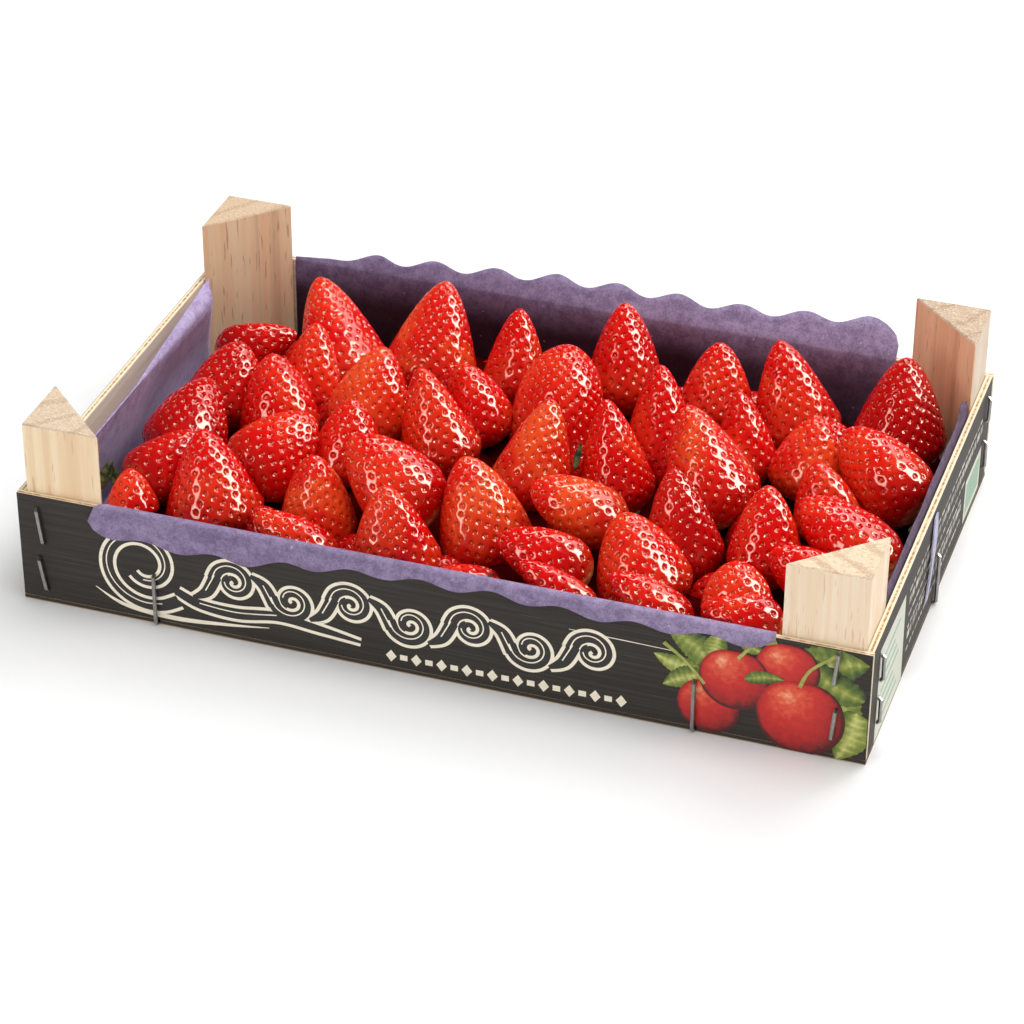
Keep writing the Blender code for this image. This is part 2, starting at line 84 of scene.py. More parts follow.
# Paper liner, as in the CAD model
PAPER = 0.0005
LINER_Z = 0.0023
PAPER_X = INNER_X - GAP
PAPER_Y = INNER_Y - GAP
FRONT_SPAN = (-0.1413, 0.1410)
BACK_SPAN = (-0.1446, 0.1370)
LEFT_SPAN = (-0.0756, 0.0766)
RIGHT_SPAN = (-0.0766, 0.0766)
# Scallops of a cut edge: length, place of a crest, depth
FRONT_SCALLOP = (0.0295, 0.011, 0.0015)
BACK_SCALLOP = (0.0287, 0.0075, 0.0016)
# How far the front flap hangs and the back one rises, along the crate
FRONT_HANG = (
    (-0.0800, 0.0127), (-0.0600, 0.0092), (-0.0200, 0.0058), (0.0300, 0.0045),
    (0.0720, 0.0060), (0.1350, 0.0045))
BACK_RISE = (
    (-0.1446, 0.0007), (-0.1310, 0.0017), (-0.1030, 0.0048), (-0.0500, 0.0067),
    (-0.0200, 0.0085), (0.0660, 0.0085), (0.0950, 0.0102), (0.1260, 0.0119))
FRONT_FOLD = 0.0004      # the paper rounds over the wall within this of its top
FRONT_FREE = 0.62        # share of the splay reached there
BACK_LEAN = 0.75
LEFT_LEAN_IN = 0.0125
LEFT_TOP = 0.057
LEFT_TOP_END = 0.057     # the top edge is shorter than the foot at the back
LEFT_CURL, LEFT_CURL_FROM = 0.0065, 0.35
RIGHT_TOP = 0.0575
RIGHT_TIP, RIGHT_TIP_AT, RIGHT_TIP_SPREAD = 0.0635, 0.93, 0.035
RIGHT_CLEAR = 0.0004

# Shape of a berry and of the pits in its skin
SHOULDER = 0.30             # share of the length from the stalk end to the widest ring
EASE, TAPER = 0.15, 0.58    # taken off the bluntness, and the power of the side's curve
LOBES = ((2, 0.04, 2.1), (3, 0.025, 1.7))    # count, height, and turn from berry to berry
CELL = 0.866                # area of a pit's share of the skin, for pits one unit apart
PIT_SPACING = (5.0, 3.7)    # between pits, in millimetres, at the widest ring and at the tip
PIT_DEPTH = 0.00064
PIT_FLOOR, PIT_RIM = 0.22, 1.48   # radii of a pit's floor and rim, in millimetres
PIT_RINGS = (0.32, 0.60)    # shares of the way to the edges' and triangles' middles
PIT_JITTER = 0.00030
SEED_SIZE = (0.00058, 0.00034, 0.00026)    # half length, half width, half thickness
SEED_SIDES = 5
SEED_SWING, SEED_SPREAD = 0.22, 0.10       # uneven direction and size
SEED_LIFT = 0.00008
HIDDEN_Z = 0.030            # nothing of the berries' skin shows below this
NO_PIT = 3.0                # pit coordinate of skin that has none, clear of every pit's rim
# Tip, stalk end, radius and bluntness, as in the CAD model, and the kind of red
BERRIES = [
    ((-114, 34, 60), (-147, 20, 49), 11.5, 1.6, "deep"),
    ((-114, 61, 74), (-86, 33, 26), 21.5, 1.2, "bright"),
    ((-59, 76, 74), (-62, 54, 23), 21, 1.1, "orange"),
    ((-23, 70, 70), (-22, 58, 26), 15, 1.2, "bright"),
    ((21, 83, 74), (25, 70, 24), 17.5, 1.3, "bright"),
    ((68, 70, 70), (69, 59, 30), 16, 1.4, "bright"),
    ((93, 73, 74), (108, 63, 24), 19, 1.05, "bright"),
    ((149, 73, 76), (149, 64, 25), 20.5, 1.2, "deep"),
    ((-130, 10, 66), (-135, -10, 32), 17.5, 1.6, "deep"),
    ((-101, 26, 72), (-102, 13, 30), 15.5, 1.25, "bright"),
    ((-111, -2, 70), (-102, -13, 28), 18, 1.6, "bright"),
    ((-66, 16, 72), (-72, -2, 32), 18, 1.4, "orange"),
    ((-45, 1, 74), (-29, -8, 26), 17.5, 1, "bright"),
    ((-34, 22, 66), (-20, 20, 30), 15, 1.7, "bright"),
    ((8, 45.5, 71), (6.5, 17.5, 22), 19, 3, "bright"),
    ((50, 40, 72), (55, 24, 22), 15.8, 1.25, "bright"),
    ((86, 33, 70), (94, 26, 28), 14, 1.2, "bright"),
    ((122, 33, 64), (118, 20, 29), 16, 1.5, "orange"),
    ((128, 1, 62), (139, -6, 29), 14, 1.5, "orange"),
    ((134, 27, 64), (170.5, 11, 37), 18, 1.9, "bright"),
    ((130, -30, 63), (172.5, -46, 42), 15.5, 1.9, "bright"),
    ((-131, -23, 66), (-137, -51, 35), 19.5, 1.4, "deep"),
    ((-79, -35, 64), (-103, -61, 40), 17, 1.7, "bright"),
    ((-114, -72, 72), (-104, -82, 26), 20, 1.1, "bright"),
    ((-123, -55, 59), (-144, -77, 36), 15, 1.4, "deep"),
    ((-141, -86, 56), (-137, -93, 34), 11.5, 1.3, "bright"),
    ((-81, -97, 53), (-47, -95, 32), 11, 1.9, "bright"),
    ((-67, -67, 66), (-63, -72, 22), 16, 1.5, "orange"),
    ((-66, -23, 68), (-66, -34, 31), 16, 1.4, "orange"),
    ((-54, -58, 72), (-18, -61, 39), 18, 1.8, "bright"),
    ((-28, -89, 72), (-21, -89, 25), 18, 1.15, "bright"),
    ((-4, -97, 41), (24, -96, 34), 10, 1.6, "bright"),
    ((-6, -54, 70), (10, -62, 22), 19, 1.5, "orange"),
    ((16, -5, 74), (9, -23, 28), 18, 1.1, "orange"),
    ((37, 2, 74), (48, -8, 23), 17, 1.05, "bright"),
    ((22, -52, 61), (62, -49, 44), 13.5, 2.2, "orange"),
    ((19, -84, 55), (57, -81, 40), 12.5, 2, "bright"),
    ((32, -97, 54), (65, -98, 33), 9.5, 1.6, "bright"),
    ((65, -66, 65), (83, -77, 26), 19.5, 1.5, "bright"),
    ((70, -98, 57), (103, -98, 34), 11, 1.6, "bright"),
    ((78, -38, 72), (88, -46, 24), 17.5, 1.15, "deep"),
    ((71, 5, 76), (94, -12, 30), 20, 1.15, "orange"),
    ((118, -38, 72), (120, -49, 30), 16, 1.4, "bright"),
    ((117, -83, 63), (120, -87, 34), 15, 2.2, "bright"),
    ((108, -100, 51), (140, -94, 43), 11, 1.9, "bright"),
    ((126, -64, 58), (152, -60, 42), 11.5, 1.8, "bright"),
]
# Berries of the layer below, which show in the gaps
LOW_BERRIES = [
    ((-138, 62, 45), (-133, 52, 22), 15, 1.6),
    ((-112, 88, 37), (-118, 84, 14), 15, 1.5),
    ((-84, 92, 34), (-82, 88, 12), 14, 1.5),
    ((-38, 90, 31), (-40, 84, 12), 15, 1.6),
    ((-2, 90, 36), (0, 86, 13), 15, 1.4),
    ((46, 90, 32), (44, 84, 13), 15, 1.5),
    ((78, 90, 36), (80, 86, 13), 14, 1.6),
    ((124, 88, 27), (120, 84, 9), 15, 1.5),
    ((47, 62, 52), (46, 56, 22), 14, 1.5),
    ((-42, 44, 52), (-42, 38, 22), 15, 1.5),
    ((-76, 44, 50), (-78, 40, 22), 14, 1.5),
    ((27, 10, 44), (28, 10, 22), 13, 1.6),
    ((123, 54, 50), (126, 48, 20), 15, 1.5),
    ((154, 42, 46), (156, 38, 20), 14, 1.7),
    ((152, -8, 48), (156, -14, 22), 14, 1.6),
    ((-151, -14, 50), (-149, -20, 22), 12, 1.6),
    ((-90, -30, 50), (-90, -26, 22), 14, 1.5),
    ((-45, -26, 52), (-44, -26, 24), 14, 1.6),
    ((-84, 8, 50), (-88, 6, 22), 13, 1.6),
    ((-86, -80, 44), (-84, -78, 22), 13, 1.5),
    ((-44, -84, 40), (-44, -80, 20), 13, 1.6),
    ((-6, -84, 38), (-4, -80, 20), 13, 1.6),
    ((37, -34, 54), (38, -34, 24), 14, 1.5),
    ((112, -16, 50), (110, -16, 22), 14, 1.5),
    ((104, -64, 42), (104, -62, 22), 12, 1.6),
    ((150, -84, 46), (146, -78, 20), 10, 1.6),
    ((62, 22, 52), (64, 20, 22), 13, 1.6),
    ((-150, 22, 40), (-152, 28, 18), 12, 1.7),
]
# Fruit under the berries that show: its spans, the height of its foot, the size of its rounded
# tops, and how far it falls within its border
BELOW_X, BELOW_Y = (-0.164, 0.168), (-0.105, 0.106)
BELOW_FOOT = 0.004
TOP_RADIUS, TOP_RISE = 0.0185, 0.016
BELOW_FALL, BELOW_BORDER = 0.014, 0.030
# Sepals: base, tip and width in millimetres, and how far they bend
SEPALS = (
    ((-157, -82, 39), (-157, -68, 45), 5, 1.5), ((-150, -78, 40), (-157, -70, 44), 5, -1.0),
    ((29, -14, 46), (27, 2, 50), 2.6, 1.5), ((64, -49, 48), (66, -42, 51), 2, 0.8),
    ((20, -103, 44), (22, -98, 46), 2, 0.5), ((172, -12, 43), (174, -7, 46), 3, 0.8))
SEPAL_THICK = 0.0004
SEPAL_ROWS, SEPAL_COLUMNS = 8, 4


# Colours and shader nodes

def rgb(red, green, blue):
    """A colour as read from a screen, 0 to 255, in linear light."""
    def linear(value):
        value /= 255
        return value / 12.92 if value <= 0.04045 else ((value + 0.055) / 1.055) ** 2.4
    return (linear(red), linear(green), linear(blue), 1.0)


class Shade:
    """A node material and short calls that add nodes to it."""

    def __init__(self, name, roughness=0.5, **sockets):
        self.material = bpy.data.materials.new(name)
        self.material.use_nodes = True
        self.tree = self.material.node_tree
        self.shader = self.tree.nodes["Principled BSDF"]
        self.shader.inputs["Roughness"].default_value = roughness
        for socket, value in sockets.items():
            self.shader.inputs[socket.replace("_", " ")].default_value = value

    def add(self, kind, inputs=(), **settings):
        made = self.tree.nodes.new(kind)
        for name, value in settings.items():
            setattr(made, name, value)
        for key, value in dict(inputs).items():
            if isinstance(value, bpy.types.NodeSocket):
                self.tree.links.new(value, made.inputs[key])
            else:
                made.inputs[key].default_value = value
        return made

    def drive(self, socket, value):
        self.tree.links.new(value, self.shader.inputs[socket])

    def math(self, operation, *values):
        return self.add("ShaderNodeMath", dict(enumerate(values)), operation=operation).outputs[0]

    def times(self, first, second):
        return self.math("MULTIPLY", first, second)

    def plus(self, first, second):
        return self.math("ADD", first, second)

    def place(self):
        return self.add("ShaderNodeTexCoord").outputs["Object"]

    def parts(self, vector):
        return self.add("ShaderNodeSeparateXYZ", {0: vector}).outputs

    def facing(self):
        """Components of the surface's own direction."""
        return self.parts(self.add("ShaderNodeTexCoord").outputs["Normal"])

    def towards(self, direction):
        """How far the surface faces a level direction, -1 to 1."""
        x, y, _ = self.facing()
        return self.plus(self.times(x, direction[0]), self.times(y, direction[1]))

    def attribute(self, name):
        return self.add("ShaderNodeAttribute", attribute_name=name).outputs["Fac"]

    def noise(self, scale, detail=4.0, roughness=0.55, place=None):
        return self.add("ShaderNodeTexNoise", {
            "Vector": place or self.place(), "Scale": scale, "Detail": detail,
            "Roughness": roughness}).outputs["Fac"]

    def grain(self, scale, detail=4.0, roughness=0.55, turn=(0, 0, 0)):
        """Noise with a scale along each axis."""
        stretched = self.add("ShaderNodeMapping", {"Vector": self.place(), "Scale": scale,
                                                   "Rotation": turn}).outputs[0]
        return self.noise(1.0, detail, roughness, stretched)

    def ramp(self, value, low, high, floor=0.0, ceiling=1.0, smooth=True):
        kind = "SMOOTHSTEP" if smooth else "LINEAR"
        return self.add("ShaderNodeMapRange", {
            "Value": value, "From Min": low, "From Max": high, "To Min": floor,
            "To Max": ceiling}, interpolation_type=kind).outputs[0]

    def mix(self, share, first, second, most=1.0):
        """Colours mixed by a share, which reaches only part of the way where most is below 1."""
        if most < 1:
            share = self.times(share, most)
        return self.add("ShaderNodeMix", {0: share, 6: first, 7: second},
                        data_type="RGBA").outputs[2]

    def bump(self, height, distance, strength):
        self.drive("Normal", self.add("ShaderNodeBump", {
            "Height": height, "Distance": distance, "Strength": strength}).outputs[0])


# Meshes

def add_piece(name, mesh, material, body="root"):
    obj = bpy.data.objects.new(name, mesh)
    bpy.context.scene.collection.objects.link(obj)
    mesh.materials.append(material)
    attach(obj, body)
    return obj


def smooth_mesh(name, bm):
    mesh = bpy.data.meshes.new(name)
    bm.to_mesh(mesh)
    bm.free()
    mesh.shade_smooth()
    return mesh


def lerp(a, b, share):
    return a + (b - a) * share


def read_off(curve, place):
    """Height of a curve, given as points joined by straight lines, at a place."""
    return float(np.interp(place, [point[0] for point in curve], [point[1] for point in curve]))


# Berries

class Berry:
    """A berry's surface, reached by the angle round it and the way along its side."""

    STEPS = 400

    def __init__(self, number, tip, stalk, radius, blunt, kind="low"):
        self.number, self.kind = number, kind
        self.radius, self.blunt = radius * MM, blunt
        self.stalk = np.array(stalk) * MM
        axis = np.array(tip) * MM - self.stalk
        self.length = float(np.linalg.norm(axis))
        self.turn = np.array(Vector(axis).to_track_quat("Z", "Y").to_matrix())
        self.share = (1 - np.cos(np.linspace(0, math.pi, self.STEPS))) / 2
        reach = self.radius * self.profile(self.share)
        rise = self.share * self.length
        step = np.hypot(np.diff(reach), np.diff(rise))
        self.way = np.concatenate(([0.0], np.cumsum(step)))
        self.side = self.way[-1]
        self.slope_out = np.gradient(reach, self.way)
        self.slope_up = np.gradient(rise, self.way)
        spacing = np.interp(self.share, (SHOULDER, 1.0), PIT_SPACING) * MM
        rings = 2 * math.pi * (reach[1:] + reach[:-1]) / 2 * step
        cells = rings / (CELL * spacing[1:] ** 2)
        self.count = np.concatenate(([0.0], np.cumsum(cells)))

    def profile(self, share):
        """Relative radius from the stalk end, 0, to the tip, 1."""
        cap = np.sqrt(np.clip(1 - ((SHOULDER - share) / SHOULDER) ** 2, 0, 1))
        along = np.clip((share - SHOULDER) / (1 - SHOULDER), 0, 1)
        body = np.clip(1 - along ** (self.blunt - EASE), 0, 1) ** TAPER
        return np.where(share < SHOULDER, cap, body)

    def pit_balls(self):
        """Points of a unit ball, one for each pit, in a sunflower's spiral."""
        number = int(self.count[-1])
        index = np.arange(number)
        way = np.interp(index + 0.5, self.count, self.way)
        around = index * GOLDEN_ANGLE + self.number
        polar = math.pi * way / self.side
        ball = np.stack((np.sin(polar) * np.cos(around), np.sin(polar) * np.sin(around),
                         -np.cos(polar)), axis=1)
        rng = np.random.default_rng(self.number)
        return unit(ball + rng.normal(0, PIT_JITTER / self.side, (number, 3)) * math.pi)

    def surface(self, ball):
        """Places, outward directions and tip shares for points of the unit ball."""
        around = np.arctan2(ball[:, 1], ball[:, 0])
        way = np.arccos(np.clip(-ball[:, 2], -1, 1)) / math.pi * self.side
        share = np.interp(way, self.way, self.share)
        lobed = 1
        for lobes, height, turn in LOBES:
            lobed = lobed + height * np.cos(lobes * around + turn * self.number)
        reach = self.radius * self.profile(share) * lobed
        up, out = np.interp(way, self.way, self.slope_up), np.interp(way, self.way, self.slope_out)
        local = np.stack((reach * np.cos(around), reach * np.sin(around), share * self.length), 1)
        facing = np.stack((up * np.cos(around), up * np.sin(around), -out), 1)
        facing /= np.linalg.norm(facing, axis=1, keepdims=True)
        return self.stalk + local @ self.turn.T, facing @ self.turn.T, share

    def holds(self, points, margin=0.97):
        """Which points lie inside the berry."""
        local = (points - self.stalk) @ self.turn
        share = local[:, 2] / self.length
        reach = np.hypot(local[:, 0], local[:, 1])
        inside = reach < self.radius * self.profile(np.clip(share, 0, 1)) * margin
        return inside & (share > 0.01) & (share < 0.99)


def hull_triangles(points):
    """Triangles of the convex hull of points on a convex body, facing out."""
    bm = bmesh.new()
    for point in points:
        bm.verts.new(point)
    bm.verts.index_update()
    bmesh.ops.convex_hull(bm, input=bm.verts)
    bmesh.ops.triangulate(bm, faces=bm.faces[:])
    triangles = np.array([[vert.index for vert in face.verts] for face in bm.faces])
    bm.free()
    a, b, c = (points[triangles[:, k]] for k in range(3))
    flipped = np.einsum("ij,ij->i", np.cross(b - a, c - a), a + b + c) < 0
    triangles[flipped] = triangles[flipped][:, ::-1]
    return triangles


def unit(vectors):
    return vectors / np.linalg.norm(vectors, axis=1, keepdims=True)


class PitLattice:
    """Pits at the corners of a lattice of triangles on the unit ball.

    Each triangle is shared out among its three pits, and each share is ringed, so the relief
    follows the pits. The points are the pits, the edges' middles, the triangles' centres, and
    then ring by ring those round the edges' two ends and the triangles' three corners."""

    def __init__(self, pits, stretch):
        self.triangles = hull_triangles(pits * stretch)
        ends = np.stack((self.triangles, np.roll(self.triangles, -1, axis=1)), axis=2)
        self.edges, leaving = np.unique(np.sort(ends.reshape(-1, 2), axis=1), axis=0,
                                        return_inverse=True)
        self.leaving = leaving.reshape(-1, 3)    # the edge that leaves each corner
        middles = unit(pits[self.edges[:, 0]] + pits[self.edges[:, 1]])
        centres = unit(pits[self.triangles].sum(axis=1))
        self.middle = len(pits)
        self.centre = self.middle + len(middles)
        self.ring = self.centre + len(centres)
        self.ring_size = 2 * len(middles) + 3 * len(centres)
        balls = [pits, middles, centres]
        owners = [np.arange(self.middle), np.full(self.ring - self.middle, -1)]
        for ring in PIT_RINGS:
            for corners, goals in ((self.edges, middles), (self.triangles, centres)):
                for pit in corners.T:
                    balls.append(unit(pits[pit] + (goals - pits[pit]) * ring))
                    owners.append(pit)
        self.balls, self.owners = np.concatenate(balls), np.concatenate(owners)

    def rings(self, place):
        return [self.ring + k * self.ring_size + place for k in range(len(PIT_RINGS))]

    def along_edge(self, edge, pit):
        """Points from the pit at one end of an edge to its middle."""
        end = (self.edges[edge, 0] != pit) * 1
        return [pit, *self.rings(end * len(self.edges) + edge), self.middle + edge]

    def to_centre(self, triangle, corner):
        """Points from a corner of a triangle to its centre."""
        place = 2 * len(self.edges) + corner * len(self.triangles) + triangle
        return [self.triangles[triangle, corner], *self.rings(place), self.centre + triangle]

    def loops(self, fine):
        """Faces of the triangles in fine, pit by pit, each with its pit."""
        for corner in range(3):
            pit = self.triangles[:, corner]
            out_line = self.along_edge(self.leaving[:, corner], pit)
            mid_line = self.to_centre(np.arange(len(pit)), corner)
            in_line = self.along_edge(self.leaving[:, corner - 1], pit)
            for right, left in ((out_line, mid_line), (mid_line, in_line)):
                yield np.stack((pit, right[1], left[1]), 1)[fine], pit[fine]
                for k in range(1, len(right) - 1):
                    loop = np.stack((right[k], right[k + 1], left[k + 1], left[k]), 1)
                    yield loop[fine], pit[fine]

    def plain_loops(self, fine):
        """The other triangles whole, with the vertices of a finer neighbour's edge."""
        fine_edges = set(self.leaving[fine].ravel().tolist())
        for triangle in np.nonzero(~fine)[0]:
            loop = []
            for pit, after, edge in zip(self.triangles[triangle],
                                        np.roll(self.triangles[triangle], -1),
                                        self.leaving[triangle]):
                if edge in fine_edges:
                    back = self.along_edge(edge, after)[1:-1]
                    loop += self.along_edge(edge, pit) + back[::-1]
                else:
                    loop.append(pit)
            yield [int(vertex) for vertex in loop]


def berry_skin(berry, others):
    """Vertices, faces, pit coordinates and tip shares of one berry, and its pits' frames.

    Only triangles with a pit that may show are fine."""
    pits = berry.pit_balls()
    lattice = PitLattice(pits, np.array((1, 1, berry.length / (2 * berry.radius))))
    places, facing, _ = berry.surface(pits)
    hidden = places[:, 2] < HIDDEN_Z
    for other in others:
        hidden |= other.holds(places)
    fine = ~hidden[lattice.triangles].all(axis=1)

    # Sink the vertices near a pit's middle
    level, normals, shares = berry.surface(lattice.balls)
    own = lattice.owners >= 0
    far = np.full(len(level), np.inf)
    far[own] = np.linalg.norm(level[own] - places[lattice.owners[own]], axis=1) / MM
    rise = np.clip((far - PIT_FLOOR) / (PIT_RIM - PIT_FLOOR), 0, 1)
    depth = PIT_DEPTH * (1 - rise * rise * (3 - 2 * rise))
    vertices = level - normals * depth[:, None]

    # Pit coordinates: millimetres east and north of the pit's middle, north being the tip
    tip = np.array(berry.turn[:, 2])
    north = unit(tip[None, :] - facing * (facing @ tip)[:, None])
    east = np.cross(north, facing)
    faces, coordinates = [], []
    for loop, pit in lattice.loops(fine):
        offset = level[loop] - places[pit][:, None, :]
        faces.append(loop)
        coordinates.append(np.stack([np.einsum("ijk,ik->ij", offset, axis[pit])
                                     for axis in (east, north)], 2) / MM)
    seen = ~hidden
    return {"vertices": vertices, "shares": shares, "faces": faces, "coordinates": coordinates,
            "plain": list(lattice.plain_loops(fine)),
            "pits": (places[seen] - facing[seen] * PIT_DEPTH, facing[seen], north[seen],
                     east[seen])}


def mesh_of_skins(name, skins, berries):
    """One mesh from several berries' skins, with pit coordinates and a tip-share attribute."""
    vertices, shares, tones, loops, sizes, flats = [], [], [], [], [], []
    base = 0
    for skin, berry in zip(skins, berries):
        vertices.append(skin["vertices"])
        shares.append(skin["shares"])
        tones.append(np.full(len(skin["vertices"]), (berry.number * GOLDEN_SHARE) % 1.0))
        for loop, flat in zip(skin["faces"], skin["coordinates"]):
            loops.append((loop + base).ravel())
            sizes.append(np.full(len(loop), loop.shape[1]))
            flats.append(flat.reshape(-1, 2))
        for loop in skin["plain"]:
            loops.append(np.array(loop) + base)
            sizes.append(np.array([len(loop)]))
            flats.append(np.full((len(loop), 2), NO_PIT))
        base += len(skin["vertices"])
    vertices, loops = np.concatenate(vertices), np.concatenate(loops)
    sizes, flats = np.concatenate(sizes), np.concatenate(flats)
    used, loops = np.unique(loops, return_inverse=True)
    mesh = bpy.data.meshes.new(name)
    mesh.vertices.add(len(used))
    mesh.vertices.foreach_set("co", vertices[used].astype(np.float32).ravel())
    mesh.loops.add(len(loops))
    mesh.loops.foreach_set("vertex_index", loops.ravel().astype(np.int32))
    mesh.polygons.add(len(sizes))
    mesh.polygons.foreach_set("loop_start",
                              np.concatenate(([0], np.cumsum(sizes)[:-1])).astype(np.int32))
    mesh.uv_layers.new(name="pit")
    mesh.uv_layers["pit"].data.foreach_set("uv", flats.astype(np.float32).ravel())
    for label, values in (("tip_share", shares), ("tone", tones)):
        mesh.attributes.new(label, "FLOAT", "POINT")
        mesh.attributes[label].data.foreach_set(
            "value", np.concatenate(values)[used].astype(np.float32))
    mesh.update(calc_edges=True)
    mesh.validate()
    mesh.shade_smooth()
    return mesh


def seed_mesh(name, frames, seed):
    """Small flattened drops lying in the pits, pointed towards the berry's tip."""
    rng = np.random.default_rng(seed)
    sides = SEED_SIDES
    around = np.arange(sides) * 2 * math.pi / sides
    shape = [(0, 0, 1.15)]
    for height, width in ((0.35, 0.85), (-0.50, 0.92)):
        shape += [(width * math.cos(a), width * math.sin(a), height) for a in around]
    shape.append((0, 0, -1.0))
    shape = np.array(shape)
    faces = []
    for k in range(sides):
        after = (k + 1) % sides
        a, b = 1 + k, 1 + after
        faces += [(0, a, b), (a, a + sides, b + sides), (a, b + sides, b),
                  (len(shape) - 1, b + sides, a + sides)]
    faces = np.array(faces)
    places, facing, north, east = (np.concatenate([f[k] for f in frames]) for k in range(4))
    count = len(places)
    swing = rng.normal(0, SEED_SWING, count)[:, None]
    size = rng.normal(1.0, SEED_SPREAD, count)[:, None, None]
    along = north * np.cos(swing) + east * np.sin(swing)
    across = np.cross(along, facing)
    points = (along[:, None, :] * shape[None, :, 2:3] * SEED_SIZE[0]
              + across[:, None, :] * shape[None, :, 0:1] * SEED_SIZE[1]
              + facing[:, None, :] * shape[None, :, 1:2] * SEED_SIZE[2]) * size
    points += (places + facing * SEED_LIFT)[:, None, :]
    mesh = bpy.data.meshes.new(name)
    loops = (faces[None] + len(shape) * np.arange(count)[:, None, None]).reshape(-1, 3)
    mesh.from_pydata(points.reshape(-1, 3).tolist(), [], loops.tolist())
    mesh.attributes.new("tone", "FLOAT", "POINT")
    mesh.attributes["tone"].data.foreach_set(
        "value", np.repeat(rng.random(count), len(shape)).astype(np.float32))
    mesh.shade_smooth()
    return mesh


def berry_material(name, skin, warm, dark):
    """Glossy wet skin, with painted shade in the pits and towards the stalk, and a warmer flush in
    patches.

    The stalk end itself is pale."""
    shade = Shade(name, 0.10, IOR=1.42, Specular_IOR_Level=0.75, Subsurface_Weight=0.10,
                  Subsurface_Radius=(1.0, 0.12, 0.06), Subsurface_Scale=0.004)
    coordinates = shade.add("ShaderNodeUVMap", uv_map="pit").outputs[0]
    far = shade.add("ShaderNodeVectorMath", {0: coordinates}, operation="LENGTH").outputs["Value"]
    share = shade.attribute("tip_share")
    patches = shade.plus(shade.noise(48.0, 2.0), shade.times(shade.attribute("tone"), 0.12))
    colour = shade.mix(shade.ramp(patches, 0.48, 0.70), skin, warm)
    # Painted shade: the skin darker red in the pits
    colour = shade.mix(shade.ramp(far, 0.35, 1.30), shade.mix(0.38, colour, dark), colour)
    # Painted shade: the skin darker towards the stalk end
    colour = shade.mix(shade.ramp(share, 0.62, 0.12), colour, dark, 0.50)
    colour = shade.mix(shade.ramp(share, 0.10, 0.0), colour, rgb(240, 190, 120), 0.6)
    shade.drive("Base Color", colour)
    shade.bump(shade.plus(shade.ramp(far, 0.35, 1.42), shade.times(shade.noise(700.0, 2.0), 0.02)),
               0.00028, 1.0)
    return shade.material


def seed_material():
    shade = Shade("seeds", 0.30)
    ripe = shade.ramp(shade.attribute("tone"), 0.3, 1.0)
    shade.drive("Base Color", shade.mix(ripe, rgb(232, 140, 66), rgb(204, 62, 36)))
    return shade.material


def fruit_below_material():
    shade = Shade("fruit_in_shade", 0.9, Specular_IOR_Level=0.0)
    bumps = shade.noise(260.0, 3.0)
    # Painted shade: near-black reds for the fruit deep in the heap
    shade.drive("Base Color", shade.mix(bumps, rgb(78, 4, 6), rgb(40, 2, 4)))
    shade.bump(bumps, 0.0008, 0.8)
    return shade.material


def fruit_below_mesh():
    """The fruit under the berries that show: rounded tops side by side, seen in the gaps."""
    rng = np.random.default_rng(5)
    tops = []
    for row in range(9):
        for column in range(13):
            place = (-168 + 28 * column + 14 * (row % 2), -100 + 25 * row)
            tops.append((*(place + rng.uniform(-4, 4, 2)), rng.uniform(28, 37)))
    tops = np.array(tops) * MM
    across, along = np.linspace(*BELOW_X, 134), np.linspace(*BELOW_Y, 86)
    x, y = np.meshgrid(across, along, indexing="ij")
    far = np.hypot(x[..., None] - tops[:, 0], y[..., None] - tops[:, 1]) / TOP_RADIUS
    z = np.max(tops[:, 2] - TOP_RISE * (1 - np.sqrt(np.clip(1 - far ** 2, 0, 1))), axis=-1)
    edge = np.minimum(0.166 - np.abs(x), 0.106 - np.abs(y))
    z -= BELOW_FALL * np.clip(1 - edge / BELOW_BORDER, 0, 1)
    z[[0, -1], :] = BELOW_FOOT
    z[:, [0, -1]] = BELOW_FOOT
    points = np.stack((x, y, z), axis=-1).reshape(-1, 3)
    columns = len(along)
    faces = [(a, a + columns, a + columns + 1, a + 1)
             for i in range(len(across) - 1) for a in range(i * columns, (i + 1) * columns - 1)]
    mesh = bpy.data.meshes.new("fruit_below")
    mesh.from_pydata(points.tolist(), [], faces)
    mesh.shade_smooth()
    return mesh


def add_berries():
    everyone = [Berry(number, *row) for number, row in enumerate(BERRIES + LOW_BERRIES, 1)]
    materials = {
        "bright": berry_material("skin_bright", rgb(222, 13, 9), rgb(234, 50, 22), rgb(132, 2, 4)),
        "orange": berry_material("skin_orange", rgb(226, 28, 14), rgb(238, 78, 32), rgb(156, 6, 8)),
        "deep": berry_material("skin_deep", rgb(192, 6, 8), rgb(212, 22, 14), rgb(108, 1, 4)),
    }
    materials["low"] = materials["deep"]
    groups = {}
    for berry in everyone:
        reach = berry.length + berry.radius
        near = [other for other in everyone if other is not berry
                and np.linalg.norm(other.stalk - berry.stalk) < reach + other.length + other.radius]
        groups.setdefault(berry.kind, []).append((berry_skin(berry, near), berry))
    frames = []
    for kind, members in groups.items():
        # The bright ones are too many for one piece
        halves = (members[0::2], members[1::2]) if kind == "bright" else (members,)
        for half, part in enumerate(halves, 1):
            name = f"berries_{kind}_{half}"
            piece = add_piece(name, mesh_of_skins(name, *zip(*part)), materials[kind])
            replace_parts(piece, "strawberries")
        frames += [skin["pits"] for skin, _ in members]
    below = add_piece("fruit_below", fruit_below_mesh(), fruit_below_material())
    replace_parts(below, "strawberries")
    add_piece("seeds", seed_mesh("seeds", frames, 7), seed_material())


